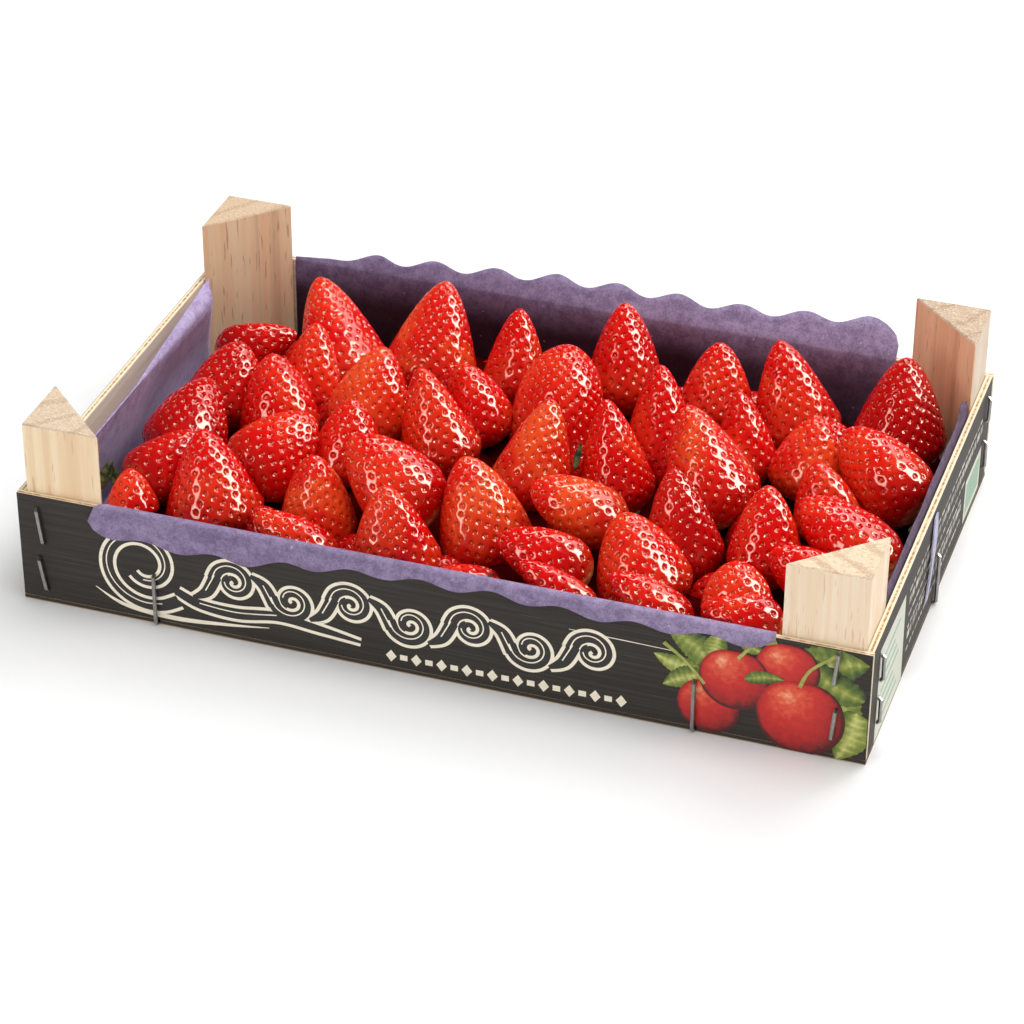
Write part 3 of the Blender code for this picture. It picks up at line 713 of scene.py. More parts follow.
def add_sepal(bm, base, tip, width, curl):
    """A curled leaf: two wavy sheets of triangles, closed round the rim."""
    base, tip = Vector(base) * MM, Vector(tip) * MM
    along = tip - base
    side = along.cross(Vector((0, 0, 1))).normalized()
    up = side.cross(along).normalized()
    rows, columns = SEPAL_ROWS, SEPAL_COLUMNS
    sheets = []
    for lift in (0.0, SEPAL_THICK):
        grid = []
        for row in range(rows + 1):
            share = row / rows
            half = width * MM / 2 * (0.12 + math.sin(math.pi * share ** 0.7))
            bend = curl * MM * (math.sin(math.pi * share) + 0.25 * math.sin(9 * share))
            grid.append([bm.verts.new(
                base + along * share + side * half * (2 * c / columns - 1)
                + up * (bend + lift + abs(2 * c / columns - 1) * 0.0008))
                for c in range(columns + 1)])
        sheets.append(grid)
    low, high = sheets
    for row in range(rows):
        for c in range(columns):
            quad = ((row, c), (row, c + 1), (row + 1, c + 1), (row + 1, c))
            for corners in ((0, 1, 2), (0, 2, 3)):
                bm.faces.new([high[quad[k][0]][quad[k][1]] for k in corners])
                bm.faces.new([low[quad[k][0]][quad[k][1]] for k in reversed(corners)])
    rim = [(0, c) for c in range(columns)] + [(row, columns) for row in range(rows)]
    rim += [(rows, c) for c in range(columns, 0, -1)] + [(row, 0) for row in range(rows, 0, -1)]
    for (r1, c1), (r2, c2) in zip(rim, rim[1:] + rim[:1]):
        bm.faces.new((low[r1][c1], low[r2][c2], high[r2][c2], high[r1][c1]))


def add_calyx_leaves():
    """The few curled sepals that show in gaps."""
    bm = bmesh.new()
    for sepal in SEPALS:
        add_sepal(bm, *sepal)
    bmesh.ops.recalc_face_normals(bm, faces=bm.faces)
    mesh = smooth_mesh("calyx_leaves", bm)
    shade = Shade("sepals", 0.7, Specular_IOR_Level=0.1)
    tone = shade.ramp(shade.noise(240.0, 3.0), 0.35, 0.7)
    shade.drive("Base Color", shade.mix(tone, rgb(20, 28, 14), rgb(92, 92, 50)))
    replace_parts(add_piece("calyx_leaves", mesh, shade.material), "strawberries")


# Paper liner

def wave(place, scallop):
    """The cut edge's scallops, as a height either side of its mean."""
    length, phase, depth = scallop
    return depth * math.cos(2 * math.pi * (place - phase) / length)


def rounding(place, radius):
    """Height of a quarter circle, from 0 at its foot to 1 from its radius on."""
    return math.sqrt(1 - max(0.0, 1 - place / radius) ** 2)


def ripple(across, up, size=0.02, seed=0.0):
    """Smooth unevenness of the paper, from -1 to 1."""
    return noise.noise(Vector((across / size, up / size, seed)))


def front_flap(share):
    """Section of the front flap: up the wall, rounded over it and down outside."""
    x = lerp(*FRONT_SPAN, share)
    hang = read_off(FRONT_HANG, x) + wave(x, FRONT_SCALLOP) * min(1.0, share / 0.05)
    spread = lerp(-0.0065, 0.001, share) * abs(2 * share - 1) ** 8    # the ends splay
    rim, outer = WALL_TOP + GAP, WIDTH / 2 + GAP
    # The cut edge rises to a round corner on the left and a blunt one on the right
    corner = rounding(x - FRONT_SPAN[0], 0.009)
    from_right = FRONT_SPAN[1] - x
    foot = rim - hang * lerp(0.50, 1.0, corner) * min(1.0, 0.25 + from_right / 0.006)
    section = [Vector((x, -PAPER_Y, LINER_Z)), Vector((x, -PAPER_Y, rim * 0.6)),
               Vector((x, -PAPER_Y, rim - FRONT_FOLD)), Vector((x, -PAPER_Y - 0.0003, rim)),
               Vector((x + spread * 0.3, -(PAPER_Y + outer) / 2, rim + 0.0001)),
               Vector((x + spread * 0.6, -outer + 0.0002, rim)),
               Vector((x + spread * FRONT_FREE, -outer - 0.0001, rim - FRONT_FOLD))]
    rows = 5
    for row in range(1, rows + 1):
        down = row / rows
        z = lerp(rim - FRONT_FOLD, foot, down)
        puff = 0.0002 + 0.0006 * down + 0.0004 * down * (1 + ripple(x, z, size=0.018))
        section.append(Vector((x + spread * lerp(FRONT_FREE, 1.0, down), -outer - puff, z)))
    return section


def back_flap(share):
    """Section of the back flap, standing up past the wall and leaning out."""
    x = lerp(*BACK_SPAN, share)
    rise = read_off(BACK_RISE, x) + wave(x, BACK_SCALLOP) * min(1.0, max(0.0, share - 0.04) / 0.1)
    rise *= lerp(0.45, 1.0, rounding(BACK_SPAN[1] - x, 0.008))
    crease = WALL_TOP + GAP
    section = [Vector((x, PAPER_Y, LINER_Z))]
    for height in (0.3, 0.6, 0.8, 0.93):
        dent = 0.0005 * (1 + ripple(x, height, size=0.03, seed=3.0))
        section.append(Vector((x, PAPER_Y - dent, crease * height)))
    section += [Vector((x, PAPER_Y - 0.0002, crease - 0.0006)),
                Vector((x, PAPER_Y + 0.0001, crease + 0.0005))]
    rows = 4
    for row in range(1, rows + 1):
        up = row / rows
        lean = rise * BACK_LEAN * up * (1 + 0.12 * ripple(x, up, size=0.02, seed=5.0))
        section.append(Vector((x, PAPER_Y + 0.0001 + lean, crease + 0.0005 + rise * up)))
    return section


def left_flap(share):
    """Section of the left flap, which leans into the crate with its top edge curling back."""
    y = lerp(*LEFT_SPAN, share)
    top_y = lerp(LEFT_SPAN[0], LEFT_TOP_END, share)
    curl = LEFT_CURL * max(0.0, share - LEFT_CURL_FROM) / (1 - LEFT_CURL_FROM)
    bulge = 0.0025 * math.sin(2 * math.pi * share)
    low = Vector((-PAPER_X, y, LINER_Z))
    middle = Vector((-PAPER_X + LEFT_LEAN_IN * 0.45 + bulge, lerp(y, top_y, 0.5), LEFT_TOP * 0.5))
    high = Vector((-PAPER_X + LEFT_LEAN_IN, top_y, LEFT_TOP - curl * 0.3))
    section = []
    for step in range(4):
        section.append(low.lerp(middle, step / 4))
    for step in range(5):
        section.append(middle.lerp(high, step / 4))
    for point in section[1:-1]:
        point.x += 0.0004 * ripple(point.y, point.z, size=0.02, seed=9.0)
    lip = Vector((-PAPER_X + LEFT_LEAN_IN - curl * 0.8, top_y + curl * 0.2 + 0.007 * share ** 3,
                  LEFT_TOP + 0.0008 + curl * 0.45))
    section += [high.lerp(lip, 0.33) + Vector((0.0003, 0, 0.0004)), high.lerp(lip, 0.7), lip]
    return section


def right_flap(share):
    """Section of the right flap, upright against the wall, with a raised tip at the back."""
    y = lerp(*RIGHT_SPAN, share)
    tip = math.exp(-((share - RIGHT_TIP_AT) / RIGHT_TIP_SPREAD) ** 2) * (RIGHT_TIP - RIGHT_TOP)
    top = lerp(RIGHT_TOP - 0.002, RIGHT_TOP, share) + tip
    x = PAPER_X - RIGHT_CLEAR
    section = [Vector((PAPER_X, y, LINER_Z)), Vector((x, y, WALL_TOP * 0.5)),
               Vector((x, y, WALL_TOP))]
    for row in range(1, 4):
        up = row / 3
        lean = 0.0010 * up * (1 + 0.5 * ripple(y, up, size=0.02, seed=4.0))
        section.append(Vector((x - lean, y, lerp(WALL_TOP, top, up))))
    return section


def liner_mesh():
    bm = bmesh.new()
    outline = []
    flaps = ((front_flap, 170, False), (right_flap, 60, False),
             (back_flap, 170, True), (left_flap, 60, True))
    for section, columns, backwards in flaps:
        shares = [k / columns for k in range(columns + 1)]
        if backwards:
            shares.reverse()
        strips = [[bm.verts.new(place) for place in section(share)] for share in shares]
        outline += [strip[0] for strip in strips]
        for here, after in zip(strips, strips[1:]):
            for row in range(len(here) - 1):
                bm.faces.new((here[row], here[row + 1], after[row + 1], after[row]))
    bm.faces.new(outline)
    bmesh.ops.recalc_face_normals(bm, faces=bm.faces)
    base = max(bm.faces, key=lambda face: len(face.verts))
    if base.normal.z < 0:
        bmesh.ops.reverse_faces(bm, faces=bm.faces)
    bmesh.ops.triangulate(bm, faces=[base])
    return smooth_mesh("paper_liner", bm)


def paper_material(name, dark, light, painted_lit_pair):
    """Uncoated paper: cloudy fibres, pale specks, and painted shade with a red cast where it lies
    against the fruit inside the crate, darker low down, and on the right flap.

    The left flap stands clear of the fruit and gets painted light instead of painted shade,
    lighter still towards its foot. The flaps outside get painted light towards the lighter pair,
    to the right and to the front."""
    shade = Shade(name, 0.92, Specular_IOR_Level=0.15)
    blend = shade.plus(shade.times(shade.noise(190.0, 5.0, 0.7), 0.6),
                       shade.times(shade.noise(1100.0, 3.0, 0.7), 0.4))
    texture = shade.ramp(blend, 0.36, 0.64)
    x, y, z = shade.parts(shade.place())
    inside = shade.math("LESS_THAN", shade.math("ABSOLUTE", y), PAPER_Y + 0.0008)
    inside = shade.times(inside, shade.math("LESS_THAN", x, LENGTH / 2 - 0.001))
    lit_left_flap = shade.times(inside, shade.ramp(x, -0.150, -0.162))
    # Painted shade with a red cast inside: under the back crease and low down, less to the right
    painted_shade = shade.plus(shade.ramp(z, 0.0530, 0.0515, 0, 0.20), shade.ramp(z, 0.052, 0.034, 0, 0.8))
    painted_shade = shade.times(painted_shade, shade.ramp(x, 0.05, 0.13, 0.92, 0.72))
    # Painted shade on the right flap
    painted_shade = shade.math("MAXIMUM", painted_shade, shade.ramp(x, 0.170, 0.174, 0, 0.62))
    painted_shade = shade.times(shade.math("SUBTRACT", inside, lit_left_flap), painted_shade)
    # Painted light: lighter towards the right end and towards the front
    painted_light = shade.math("MAXIMUM", shade.ramp(x, -0.12, 0.125),
                          shade.ramp(y, -0.10, -0.12, 0, 0.7))
    colour = shade.mix(painted_light, shade.mix(texture, dark, light), shade.mix(texture, *painted_lit_pair))
    colour = shade.mix(painted_shade, colour, rgb(44, 9, 20))
    # Painted light: the left flap lighter
    colour = shade.mix(lit_left_flap, colour, shade.mix(texture, rgb(156, 139, 180), rgb(202, 186, 224)),
                       0.9)
    # Painted light: the left flap lighter still towards its foot
    low = shade.times(lit_left_flap, shade.ramp(z, 0.054, 0.036, 0, 0.4))
    colour = shade.mix(low, colour, rgb(212, 196, 234))
    specks = shade.ramp(shade.noise(420.0, 1.0), 0.76, 0.80)
    shade.drive("Base Color", shade.mix(specks, colour, rgb(196, 186, 214), 0.6))
    shade.bump(blend, 0.0003, 0.5)
    return shade.material


def add_liner(paper):
    liner = add_piece("paper_liner", liner_mesh(), paper)
    solidify = liner.modifiers.new("thickness", "SOLIDIFY")
    solidify.thickness = PAPER
    solidify.offset = 1.0
    solidify.use_even_offset = True
    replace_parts(liner, "liner")


# Wood and print

def printed_wall_material(name, outward, thick):
    """Plywood printed black outside: pale inside, with plies on its edges."""
    shade = Shade(name, 0.66, Specular_IOR_Level=0.3)
    x, y, _ = shade.parts(shade.place())
    print_side = shade.towards(outward)
    streaks = shade.grain((14, 14, 900), 5.0, 0.65)
    fine = shade.grain((40, 40, 3200), 2.0)
    black = shade.mix(shade.ramp(streaks, 0.35, 0.70), rgb(47, 42, 38), rgb(60, 54, 49))
    black = shade.mix(shade.ramp(fine, 0.70, 0.76), black, rgb(120, 114, 104), 0.4)
    wood = shade.mix(shade.ramp(streaks, 0.3, 0.7), rgb(244, 228, 204), rgb(226, 206, 178))
    flecks = shade.ramp(shade.grain((60, 60, 700), 2.0), 0.70, 0.78)
    wood = shade.mix(flecks, wood, rgb(160, 120, 84), 0.5)
    # Plies by the depth from the inner face, in millimetres: a core, and the inked skin
    across, inner = (x, INNER_X) if outward[0] else (y, INNER_Y)
    depth = shade.times(shade.math("SUBTRACT", shade.math("ABSOLUTE", across), inner), 1 / MM)
    core = shade.times(shade.math("GREATER_THAN", depth, 1.0),
                       shade.math("LESS_THAN", depth, 1.9))
    dashes = shade.ramp(shade.grain((420, 420, 420), 3.0), 0.42, 0.58)
    ply = shade.mix(dashes, rgb(176, 130, 88), rgb(226, 196, 152))
    edge = shade.mix(core, rgb(240, 226, 196), ply)
    skin_line = shade.math("GREATER_THAN", depth, thick / MM - 0.2)
    edge = shade.mix(skin_line, edge, rgb(96, 84, 70))
    colour = shade.mix(shade.math("GREATER_THAN", print_side, 0.5), edge, black)
    colour = shade.mix(shade.math("LESS_THAN", print_side, -0.5), colour, wood)
    shade.drive("Base Color", colour)
    shade.bump(shade.plus(streaks, shade.times(fine, 0.3)), 0.0002, 0.35)
    return shade.material


class Print:
    """Flat shapes of ink on one face of the crate, each layer a little prouder than the last.

    Places on the face are (across, up) in millimetres."""

    LAYER = 0.00003

    def __init__(self, name, side, material):
        self.name, self.side, self.material = name, side, material
        self.bm = bmesh.new()
        self.tone = self.bm.verts.layers.float.new("tone")
        self.outward = Vector((0, -1, 0)) if side == "front" else Vector((1, 0, 0))

    def at(self, across, up, lift):
        """A place on the face, kept on the wood where the artwork bleeds off its edge."""
        reach = PRINT_REACH[self.side]
        across, up = max(-reach, min(reach, across)), max(PRINT_LOW, min(PRINT_HIGH, up))
        if self.side == "front":
            return Vector((across * MM, -WIDTH / 2 - lift, up * MM))
        return Vector((LENGTH / 2 + lift, across * MM, up * MM))

    def shape(self, points, loops, layer, tones, slope=0.0):
        """A sheet with a rim down to the wood. A slope lifts later points, so a line may
        cross itself."""
        places = [(self.at(u, v, self.LAYER * (layer + slope * k / len(points))),
                   self.at(u, v, -self.LAYER)) for k, (u, v) in enumerate(points)]
        top = [self.bm.verts.new(high) for high, _ in places]
        for vert, tone in zip(top, tones):
            vert[self.tone] = tone
        faces = [self.bm.faces.new([top[k] for k in loop]) for loop in loops]
        number = {vert: k for k, vert in enumerate(top)}
        low = {}
        # In the order of the faces, so that each run gives the same mesh
        rim = dict.fromkeys(edge for face in faces for edge in face.edges if edge.is_boundary)
        for edge in rim:
            for vert in edge.verts:
                if vert not in low:
                    low[vert] = self.bm.verts.new(places[number[vert]][1])
                    low[vert][self.tone] = vert[self.tone]
            a, b = edge.verts
            faces.append(self.bm.faces.new((a, b, low[b], low[a])))
        bmesh.ops.recalc_face_normals(self.bm, faces=faces)
        faces[0].normal_update()
        if faces[0].normal.dot(self.outward) < 0:
            bmesh.ops.reverse_faces(self.bm, faces=faces)

    def ribbon(self, controls, layer, wider=0.0, tone=0.5):
        """A line of changing width through (across, up, width) points."""
        path = smooth_path(controls)
        points = []
        for k, (u, v, width) in enumerate(path):
            before, after = path[max(0, k - 1)], path[min(len(path) - 1, k + 1)]
            along = Vector((after[0] - before[0], after[1] - before[1])).normalized()
            half = max(0.08, width / 2 + wider)
            points += [(u - along.y * half, v + along.x * half),
                       (u + along.y * half, v - along.x * half)]
        loops = [(2 * k, 2 * k + 1, 2 * k + 3, 2 * k + 2) for k in range(len(path) - 1)]
        self.shape(points, loops, layer, [tone] * len(points), slope=0.4)

    def patch(self, outline, layer, tone=0.5):
        self.shape(outline, [tuple(range(len(outline)))], layer, [tone] * len(outline))

    def ball(self, centre, radius, layer, cleft=0.1, light=(-0.35, 0.55)):
        """A round fruit painted with a lit side and a dark rim."""
        around, rings = 40, 9
        points, tones = [centre], [0.62]
        for ring in range(1, rings + 1):
            far = ring / rings
            for k in range(around):
                turn = 2 * math.pi * k / around
                dent = 1 - cleft * max(0.0, math.sin(turn)) ** 10
                u, v = far * math.cos(turn) * dent, far * math.sin(turn) * dent
                lit = 1 - math.hypot(u - light[0], v - light[1]) / 1.5
                points.append((centre[0] + u * radius, centre[1] + v * radius))
                tones.append(0.2 + 0.8 * lit - (0.3 if ring == rings else 0.0)
                             - 0.25 * far ** 6)
        loops = [(0, 1 + k, 1 + (k + 1) % around) for k in range(around)]
        for ring in range(rings - 1):
            a = 1 + ring * around
            loops += [(a + k, a + around + k, a + around + (k + 1) % around, a + (k + 1) % around)
                      for k in range(around)]
        self.shape(points, loops, layer, tones)

    def leaf(self, base, tip, width, layer, bend, light):
        """A leaf from its base to its tip, darker on one side of the midrib, with ribs."""
        base, tip = Vector(base), Vector(tip)
        along = tip - base
        side = Vector((-along.y, along.x)).normalized()
        rows = 24
        points, tones = [], []
        for row in range(rows + 1):
            share = row / rows
            half = width / 2 * math.sin(math.pi * share ** 0.8) ** 0.8
            half *= 1 + 0.05 * (-1) ** row
            middle = base + along * share + side * bend * math.sin(math.pi * share)
            for column in (-1, -0.55, -0.06, 0.06, 0.55, 1):
                shift = along.normalized() * abs(column) * half * 0.35
                points.append(tuple(middle + side * half * column - shift * (1 - share)))
                rib = 0.10 * (row % 3 == 0)
                tones.append(light + (0.28 if abs(column) < 0.1 else 0.1 * column) + rib
                             - 0.12 * (abs(column) == 1))
        loops = [(6 * r + c, 6 * r + c + 1, 6 * r + c + 7, 6 * r + c + 6)
                 for r in range(rows) for c in range(5)]
        self.shape(points, loops, layer, tones)

    def add(self):
        mesh = bpy.data.meshes.new(self.name)
        self.bm.to_mesh(mesh)
        self.bm.free()
        add_piece(self.name, mesh, self.material)


def smooth_path(controls, steps=9):
    """Points of a smooth curve through all the control points."""
    ends = [controls[0]] + list(controls) + [controls[-1]]
    path = []
    for k in range(1, len(ends) - 2):
        a, b, c, d = (np.array(point, dtype=float) for point in ends[k - 1:k + 3])
        for step in range(steps):
            t = step / steps
            path.append(0.5 * (2 * b + (c - a) * t + (2 * a - 5 * b + 4 * c - d) * t * t
                               + (3 * b - a - 3 * c + d) * t ** 3))
    path.append(np.array(controls[-1], dtype=float))
    return [tuple(float(value) for value in point) for point in path]


def ink_material(name, steps, wear=0.35):
    """Ink on wood: colours by the tone of the painted shape, with the grain showing through."""
    shade = Shade(name, 0.6)
    dabs = shade.math("SUBTRACT", shade.noise(420.0, 3.0), 0.5)
    tone = shade.plus(shade.attribute("tone"), shade.times(dabs, 0.45))
    colour = steps[0][1]
    for (low, _), (high, after) in zip(steps, steps[1:]):
        colour = shade.mix(shade.ramp(tone, low, high, smooth=False), colour, after)
    streaks = shade.grain((30, 30, 2400), 3.0)
    shade.drive("Base Color", shade.mix(shade.ramp(streaks, 0.60, 0.74), colour, rgb(74, 68, 60),
                                        wear))
    shade.bump(streaks, 0.0002, 0.3)
    return shade.material


def box(left, low, right, high):
    return [(left, low), (right, low), (right, high), (left, high)]


def volute(centre, start, radius, inner, turns, width, narrow, points=12):
    """Control points of a spiral that winds in about its centre. Angles are in turns."""
    made = []
    for k in range(points + 1):
        share = k / points
        turn = 2 * math.pi * (start + turns * share)
        reach = lerp(radius, inner, share ** 0.85)
        made.append((centre[0] + reach * math.cos(turn), centre[1] + reach * math.sin(turn),
                     lerp(width, narrow, share)))
    return made


def add_scroll():
    """A running scroll on the front, over a flourish and a row of lozenges."""
    cream = ink_material("cream_ink", [(0.0, rgb(252, 236, 208)), (1.0, rgb(255, 250, 232))])
    black = ink_material("black_ink", [(0.0, rgb(30, 28, 27)), (1.0, rgb(46, 44, 42))], 0.15)
    lines = [volute((-125, 28), -0.12, 21, 6.5, -1.25, 5.4, 3.4, 20),
             [(-110, 18, 3.8), (-100, 14, 4.6), (-84, 13, 5.2), (-66, 15.5, 4.4),
              (-48, 13.5, 3.4), (-30, 11, 1.4)]]
    for k in range(7):
        middle = -88 + 25.5 * k
        rise = 1 if k % 2 == 0 else -1
        lines.append([(middle - 15, 25 - 8 * rise, 1.8), (middle - 9, 25 - 4 * rise, 4.8),
                      (middle - 5, 25 + 4 * rise, 5.4)]
                     + volute((middle + 3, 26 + 2 * rise), 0.5, 8.8, 2.8, -1.15 * rise, 5.4, 3.2))
    outline = Print("scroll_outline", "front", cream)
    fill = Print("scroll_fill", "front", black)
    for line in lines:
        outline.ribbon(line, 1, wider=1.5)
        fill.ribbon(line, 2)
        fine = [(u - 0.5, v + 0.6, 0.55) for u, v, _ in line[1:-2]]
        outline.ribbon(fine, 4)
    outline.ribbon([(-147, 13, 0.3), (-134, 6.5, 1.8), (-112, 4.6, 2.2), (-88, 6.6, 1.4),
                    (-70, 9, 0.3)], 1)
    for k in range(19):
        u, v = -17 + 5.4 * k, 7.4
        if k % 2 == 0:
            outline.patch([(u - 2.3, v), (u, v + 2.9), (u + 2.3, v), (u, v - 2.9)], 1)
        else:
            outline.patch(box(u - 1.6, v - 1.3, u + 1.6, v + 1.3), 1)
    outline.ribbon([(58, 37.3, 0.25), (78, 37.0, 0.4), (100, 36.6, 0.25)], 1)
    outline.add()
    fill.add()


def add_cherries():
    """Cherries with leaves at the right end of the front."""
    red = ink_material("red_ink", [(0.0, rgb(84, 6, 8)), (0.3, rgb(178, 16, 18)),
                                   (0.62, rgb(208, 34, 26)), (0.85, rgb(232, 88, 56)),
                                   (1.05, rgb(252, 184, 140))])
    green = ink_material("green_ink", [(0.1, rgb(30, 44, 20)), (0.4, rgb(84, 108, 38)),
                                       (0.65, rgb(136, 148, 56)), (0.95, rgb(206, 208, 124))])
    leaves = Print("printed_leaves", "front", green)
    for number, (base, tip, width, bend, light) in enumerate((
            ((150, 36), (179, 47), 20, 2, 0.42), ((166, 40), (176, 8), 19, -3, 0.5),
            ((178, 30), (150, 47), 15, 3, 0.36), ((112, 30), (93, 34), 9, 1.5, 0.62),
            ((116, 34), (99, 46), 13, -2, 0.45), ((118, 36), (120, 50), 10, 1, 0.55),
            ((114, 28), (97, 20), 10, -1, 0.5), ((175, 24), (168, 0), 16, 2, 0.55),
            ((136, 44), (126, 50), 6, 1, 0.5))):
        leaves.leaf(base, tip, width, 1 + 0.6 * number, bend, light)
    fruit = Print("printed_cherries", "front", red)
    for layer, (centre, radius) in enumerate((((147, 38), 13.0), ((116, 14), 13.0),
                                              ((126, 29), 14.5), ((153, 17), 18.0)), 7):
        fruit.ball(centre, radius, layer)
    for stem in ([(152, 31, 1.6), (156, 40, 1.2), (166, 49, 1.5)],
                 [(127, 39, 1.5), (133, 46, 1.2), (142, 50, 1.4)],
                 [(114, 24, 1.4), (106, 33, 1.2), (97, 40, 1.8)]):
        leaves.ribbon(stem, 12, tone=0.75)
    leaves.leaf((130, 30), (146, 33), 6, 13, 1, 0.4)
    leaves.add()
    fruit.add()


def add_labels():
    """Plain label fields and rows of dashes on the right end."""
    pale = ink_material("label_ink", [(0.0, rgb(186, 190, 176)), (0.5, rgb(212, 214, 200)),
                                      (1.0, rgb(228, 228, 214))], 0.2)
    mint = ink_material("mint_ink", [(0.0, rgb(132, 172, 146)), (1.0, rgb(170, 198, 174))], 0.2)
    grey = ink_material("grey_ink", [(0.0, rgb(132, 128, 120)), (1.0, rgb(206, 200, 190))])
    labels = Print("labels", "right", pale)
    bands = Print("label_bands", "right", mint)
    marks = Print("end_marks", "right", grey)
    labels.patch([(-99, 1), (-52, 1), (-54, 43), (-98, 45)], 1, 0.6)
    labels.patch(box(64, 4, 96, 25), 1, 0.6)
    bands.patch(box(67, 7, 93, 22), 2, 0.5)
    for k in range(7):
        low = 6 + 5 * k
        bands.patch(box(-93, low, -62 - 4 * (k % 3), low + 1.6), 2, 0.5)
    rng = random.Random(11)
    for row, up in enumerate((10, 16, 21, 27, 33, 39)):
        along = -46.0
        while along < (56 if up < 28 else 92):
            run = rng.uniform(2, 6)
            high = 3.4 if row in (1, 4) else 1.5
            marks.patch(box(along, up, along + run, up + high), 1, rng.random())
            along += run + rng.uniform(0.8, 2.4)
    labels.add()
    bands.add()
    marks.add()


def floor_panel_material(name, light, dark):
    """Raw plywood, with the print's black run down over most of its edges."""
    shade = Shade(name, 0.75)
    streaks = shade.grain((14, 300, 300))
    wood = shade.mix(shade.ramp(streaks, 0.3, 0.7), light, dark)
    upright = shade.math("LESS_THAN", shade.math("ABSOLUTE", shade.facing()[2]), 0.5)
    inked = shade.times(upright, shade.math("GREATER_THAN", shade.parts(shade.place())[2], 0.0004))
    shade.drive("Base Color", shade.mix(inked, wood, rgb(46, 42, 38)))
    shade.bump(streaks, 0.0002, 0.4)
    return shade.material


def post_material(name, side, inner, end, fleck, middle):
    """Sawn softwood: upright grain with brown flecks, and a rough sawn top with faint rings.

    The side towards the fruit takes a warmer colour, painted as light bounced from the red fruit.
    Colours come in pairs, for grain.
    The tree's middle is where the rings are centred."""
    shade = Shade(name, 0.78, Specular_IOR_Level=0.3)
    grain = shade.grain((300, 300, 7), 5.0, 0.65)
    bands = shade.grain((75, 75, 2), 2.0)
    blend = shade.ramp(shade.plus(shade.times(grain, 0.6), shade.times(bands, 0.4)), 0.34, 0.66)
    inward = shade.towards((-middle[0], -middle[1]))
    # Painted light: the side towards the fruit takes a warmer pair, as light bounced from the fruit
    colour = shade.mix(shade.math("GREATER_THAN", inward, 0.05), shade.mix(blend, *side),
                       shade.mix(blend, *inner))
    flecks = shade.ramp(shade.grain((1000, 1000, 80), 1.0), 0.64, 0.72)
    colour = shade.mix(flecks, colour, fleck, 0.5)
    late = shade.ramp(shade.grain((120, 120, 2), 2.0), 0.56, 0.70)
    colour = shade.mix(late, colour, fleck, 0.28)
    shifted = shade.add("ShaderNodeVectorMath", {0: shade.place(), 1: (*middle, 0)},
                        operation="SUBTRACT")
    rings = shade.add("ShaderNodeTexWave", {
        "Vector": shifted.outputs[0], "Scale": 26.0, "Distortion": 5.0, "Detail": 4.0,
        "Detail Scale": 1.6, "Detail Roughness": 0.6}, wave_type="RINGS",
        rings_direction="Z").outputs["Fac"]
    fibre = shade.noise(1300.0, 4.0, 0.75)
    torn = shade.grain((420, 1500, 900), turn=(0, 0, 0.7))
    top = shade.mix(shade.ramp(rings, 0.66, 1.0, 0.0, 0.55), *end)
    top = shade.mix(shade.ramp(torn, 0.50, 0.66, 0.0, 0.55), top, end[1])
    top = shade.mix(shade.ramp(fibre, 0.50, 0.62, 0.0, 0.5), top, rgb(250, 240, 222))
    sawn = shade.ramp(shade.facing()[2], 0.4, 0.7)
    shade.drive("Base Color", shade.mix(sawn, colour, top))
    shade.bump(shade.mix(sawn, grain, shade.plus(fibre, torn)), 0.0005, 0.5)
    return shade.material


def wire_material():
    shade = Shade("staple_wire", 0.34, Metallic=1.0)
    stains = shade.noise(500.0, 3.0)
    shade.drive("Base Color", shade.mix(stains, rgb(112, 110, 108), rgb(180, 178, 176)))
    shade.drive("Roughness", shade.ramp(stains, 0.3, 0.7, 0.28, 0.45))
    return shade.material


def set_material(node, material):
    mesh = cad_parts[node].data
    mesh.materials.clear()
    mesh.materials.append(material)


def dress_crate():
    for name, outward, thick in (("wall_front", (0, -1), FACE_THICK),
                                 ("wall_back", (0, 1), FACE_THICK),
                                 ("wall_left", (-1, 0), END_THICK),
                                 ("wall_right", (1, 0), END_THICK)):
        set_material(name, printed_wall_material(name + "_finish", outward, thick))
    set_material("floor_panel", floor_panel_material("floor_finish", rgb(206, 178, 142),
                                                     rgb(170, 140, 106)))
    # Outer sides, inner side (painted warm light bounced from the fruit), sawn top, flecks,
    # and the middle of the tree's rings
    warm = (rgb(252, 210, 168), rgb(236, 188, 144))
    posts = {
        "post_front_left": ((rgb(255, 232, 198), rgb(244, 210, 170)), warm,
                            (rgb(214, 190, 162), rgb(176, 148, 120)), rgb(206, 158, 112),
                            (-0.20, -0.06)),
        "post_front_right": ((rgb(255, 238, 214), rgb(248, 220, 186)), warm,
                             (rgb(228, 204, 172), rgb(180, 142, 104)), rgb(222, 176, 128),
                             (0.12, -0.16)),
        "post_back_left": ((rgb(236, 210, 180), rgb(220, 190, 160)),
                           (rgb(255, 230, 188), rgb(250, 208, 164)),
                           (rgb(206, 176, 144), rgb(174, 142, 110)), rgb(160, 108, 78),
                           (-0.22, 0.14)),
        "post_back_right": ((rgb(232, 216, 198), rgb(220, 198, 176)), warm,
                            (rgb(192, 166, 140), rgb(160, 128, 100)), rgb(170, 118, 84),
                            (0.10, 0.16)),
    }
    for name, tones in posts.items():
        set_material(name, post_material(name + "_finish", *tones))
    wire = wire_material()
    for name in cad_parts:
        if name.startswith("staple_"):
            set_material(name, wire)
    strip = rgb(176, 172, 204), rgb(214, 212, 234)
    set_material("paper_strip", paper_material("pale_strip", *strip, strip))


# Camera, light and floor

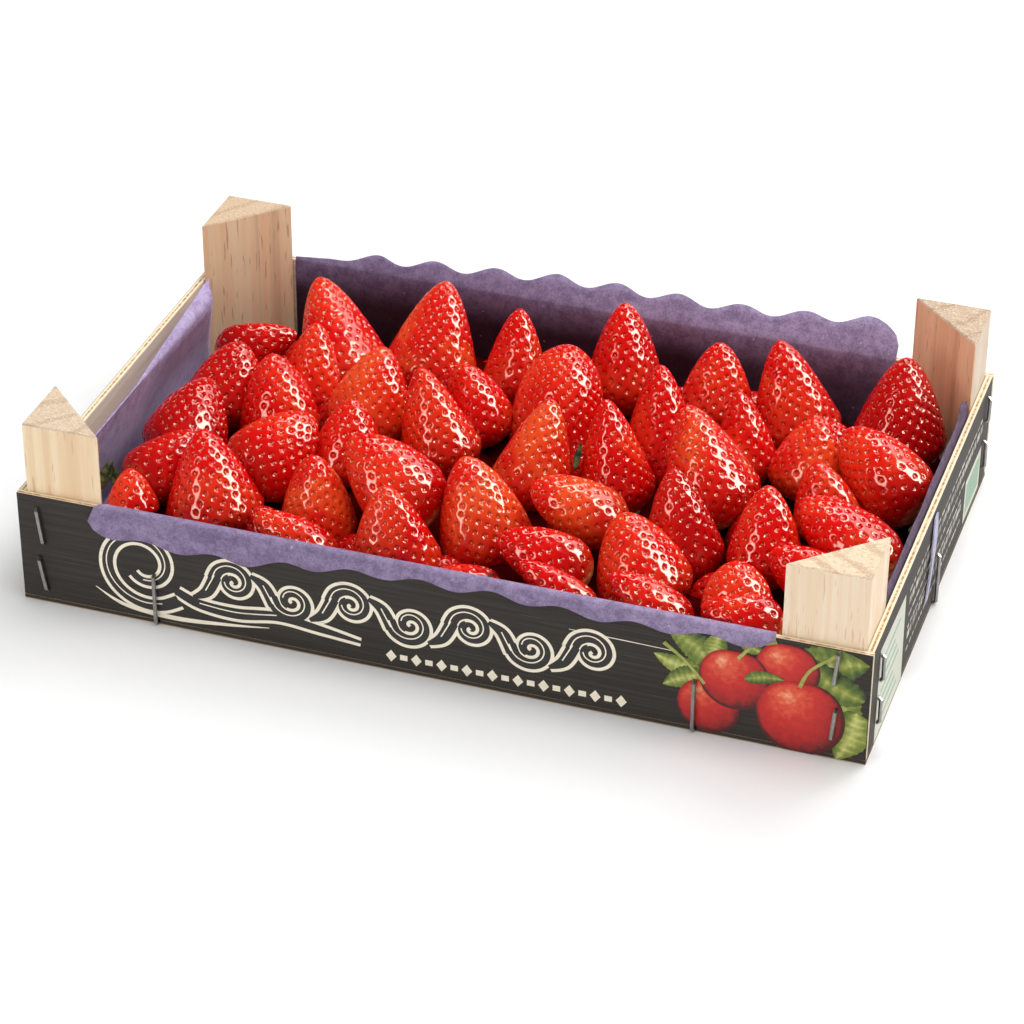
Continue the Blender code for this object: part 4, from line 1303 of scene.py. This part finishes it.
def add_camera():
    data = bpy.data.cameras.new("camera")
    data.sensor_width = 36.0
    data.lens = CAMERA_LENS
    data.clip_end = 20.0
    camera = bpy.data.objects.new("camera", data)
    camera.matrix_world = (Matrix.Translation(CAMERA_PLACE)
                           @ Matrix.Rotation(CAMERA_TURN, 4, "Z")
                           @ Matrix.Rotation(math.pi / 2 - CAMERA_PITCH, 4, "X")
                           @ Matrix.Rotation(CAMERA_ROLL, 4, "Z"))
    bpy.context.scene.collection.objects.link(camera)
    bpy.context.scene.camera = camera


def add_softbox(name, azimuth, elevation, distance, size, power, shows):
    """A rectangular light aimed at the heap."""
    data = bpy.data.lights.new(name, "AREA")
    data.shape = "RECTANGLE"
    data.size, data.size_y = size
    data.energy = power
    data.color = WARM if shows == "glints" else WHITE
    turn, lift = math.radians(azimuth), math.radians(elevation)
    away = Vector((math.sin(turn) * math.cos(lift), -math.cos(turn) * math.cos(lift),
                   math.sin(lift)))
    light = bpy.data.objects.new(name, data)
    light.location = Vector(AIM) + away * distance
    light.rotation_euler = away.to_track_quat("Z", "Y").to_euler()
    light.visible_diffuse = shows != "glints"
    light.visible_glossy = shows != "light"
    bpy.context.scene.collection.objects.link(light)


def add_room():
    mesh = bpy.data.meshes.new("floor")
    corners = box(-FLOOR_HALF, -FLOOR_HALF, FLOOR_HALF, FLOOR_HALF)
    mesh.from_pydata([(*corner, 0) for corner in corners], [], [(0, 1, 2, 3)])
    floor = bpy.data.objects.new("floor", mesh)
    floor.location.z = -FLOOR_DROP
    bpy.context.scene.collection.objects.link(floor)
    shade = Shade("pale_floor", 0.9, Specular_IOR_Level=0.1)
    shade.shader.inputs["Base Color"].default_value = FLOOR_COLOUR
    mesh.materials.append(shade.material)
    world = bpy.data.worlds.new("studio")
    bpy.context.scene.world = world
    world.use_nodes = True
    tree = world.node_tree
    rays = tree.nodes.new("ShaderNodeLightPath")
    strength = tree.nodes.new("ShaderNodeMix")
    strength.inputs[2].default_value = ROOM_LIGHT
    strength.inputs[3].default_value = ROOM_GLINT
    tree.links.new(rays.outputs["Is Glossy Ray"], strength.inputs[0])
    tree.links.new(strength.outputs[0], tree.nodes["Background"].inputs["Strength"])
    tree.nodes["Background"].inputs["Color"].default_value = (1.0, 1.0, 1.0, 1)
    for name, row in LIGHTS.items():
        add_softbox(name, *row)
    bpy.context.scene.view_settings.view_transform = "Standard"


add_camera()
add_room()
paper = paper_material("lilac_paper", rgb(106, 90, 122), rgb(143, 126, 160),
                       (rgb(126, 110, 143), rgb(170, 153, 187)))
add_liner(paper)
dress_crate()
add_scroll()
add_cherries()
add_labels()
add_berries()
add_calyx_leaves()
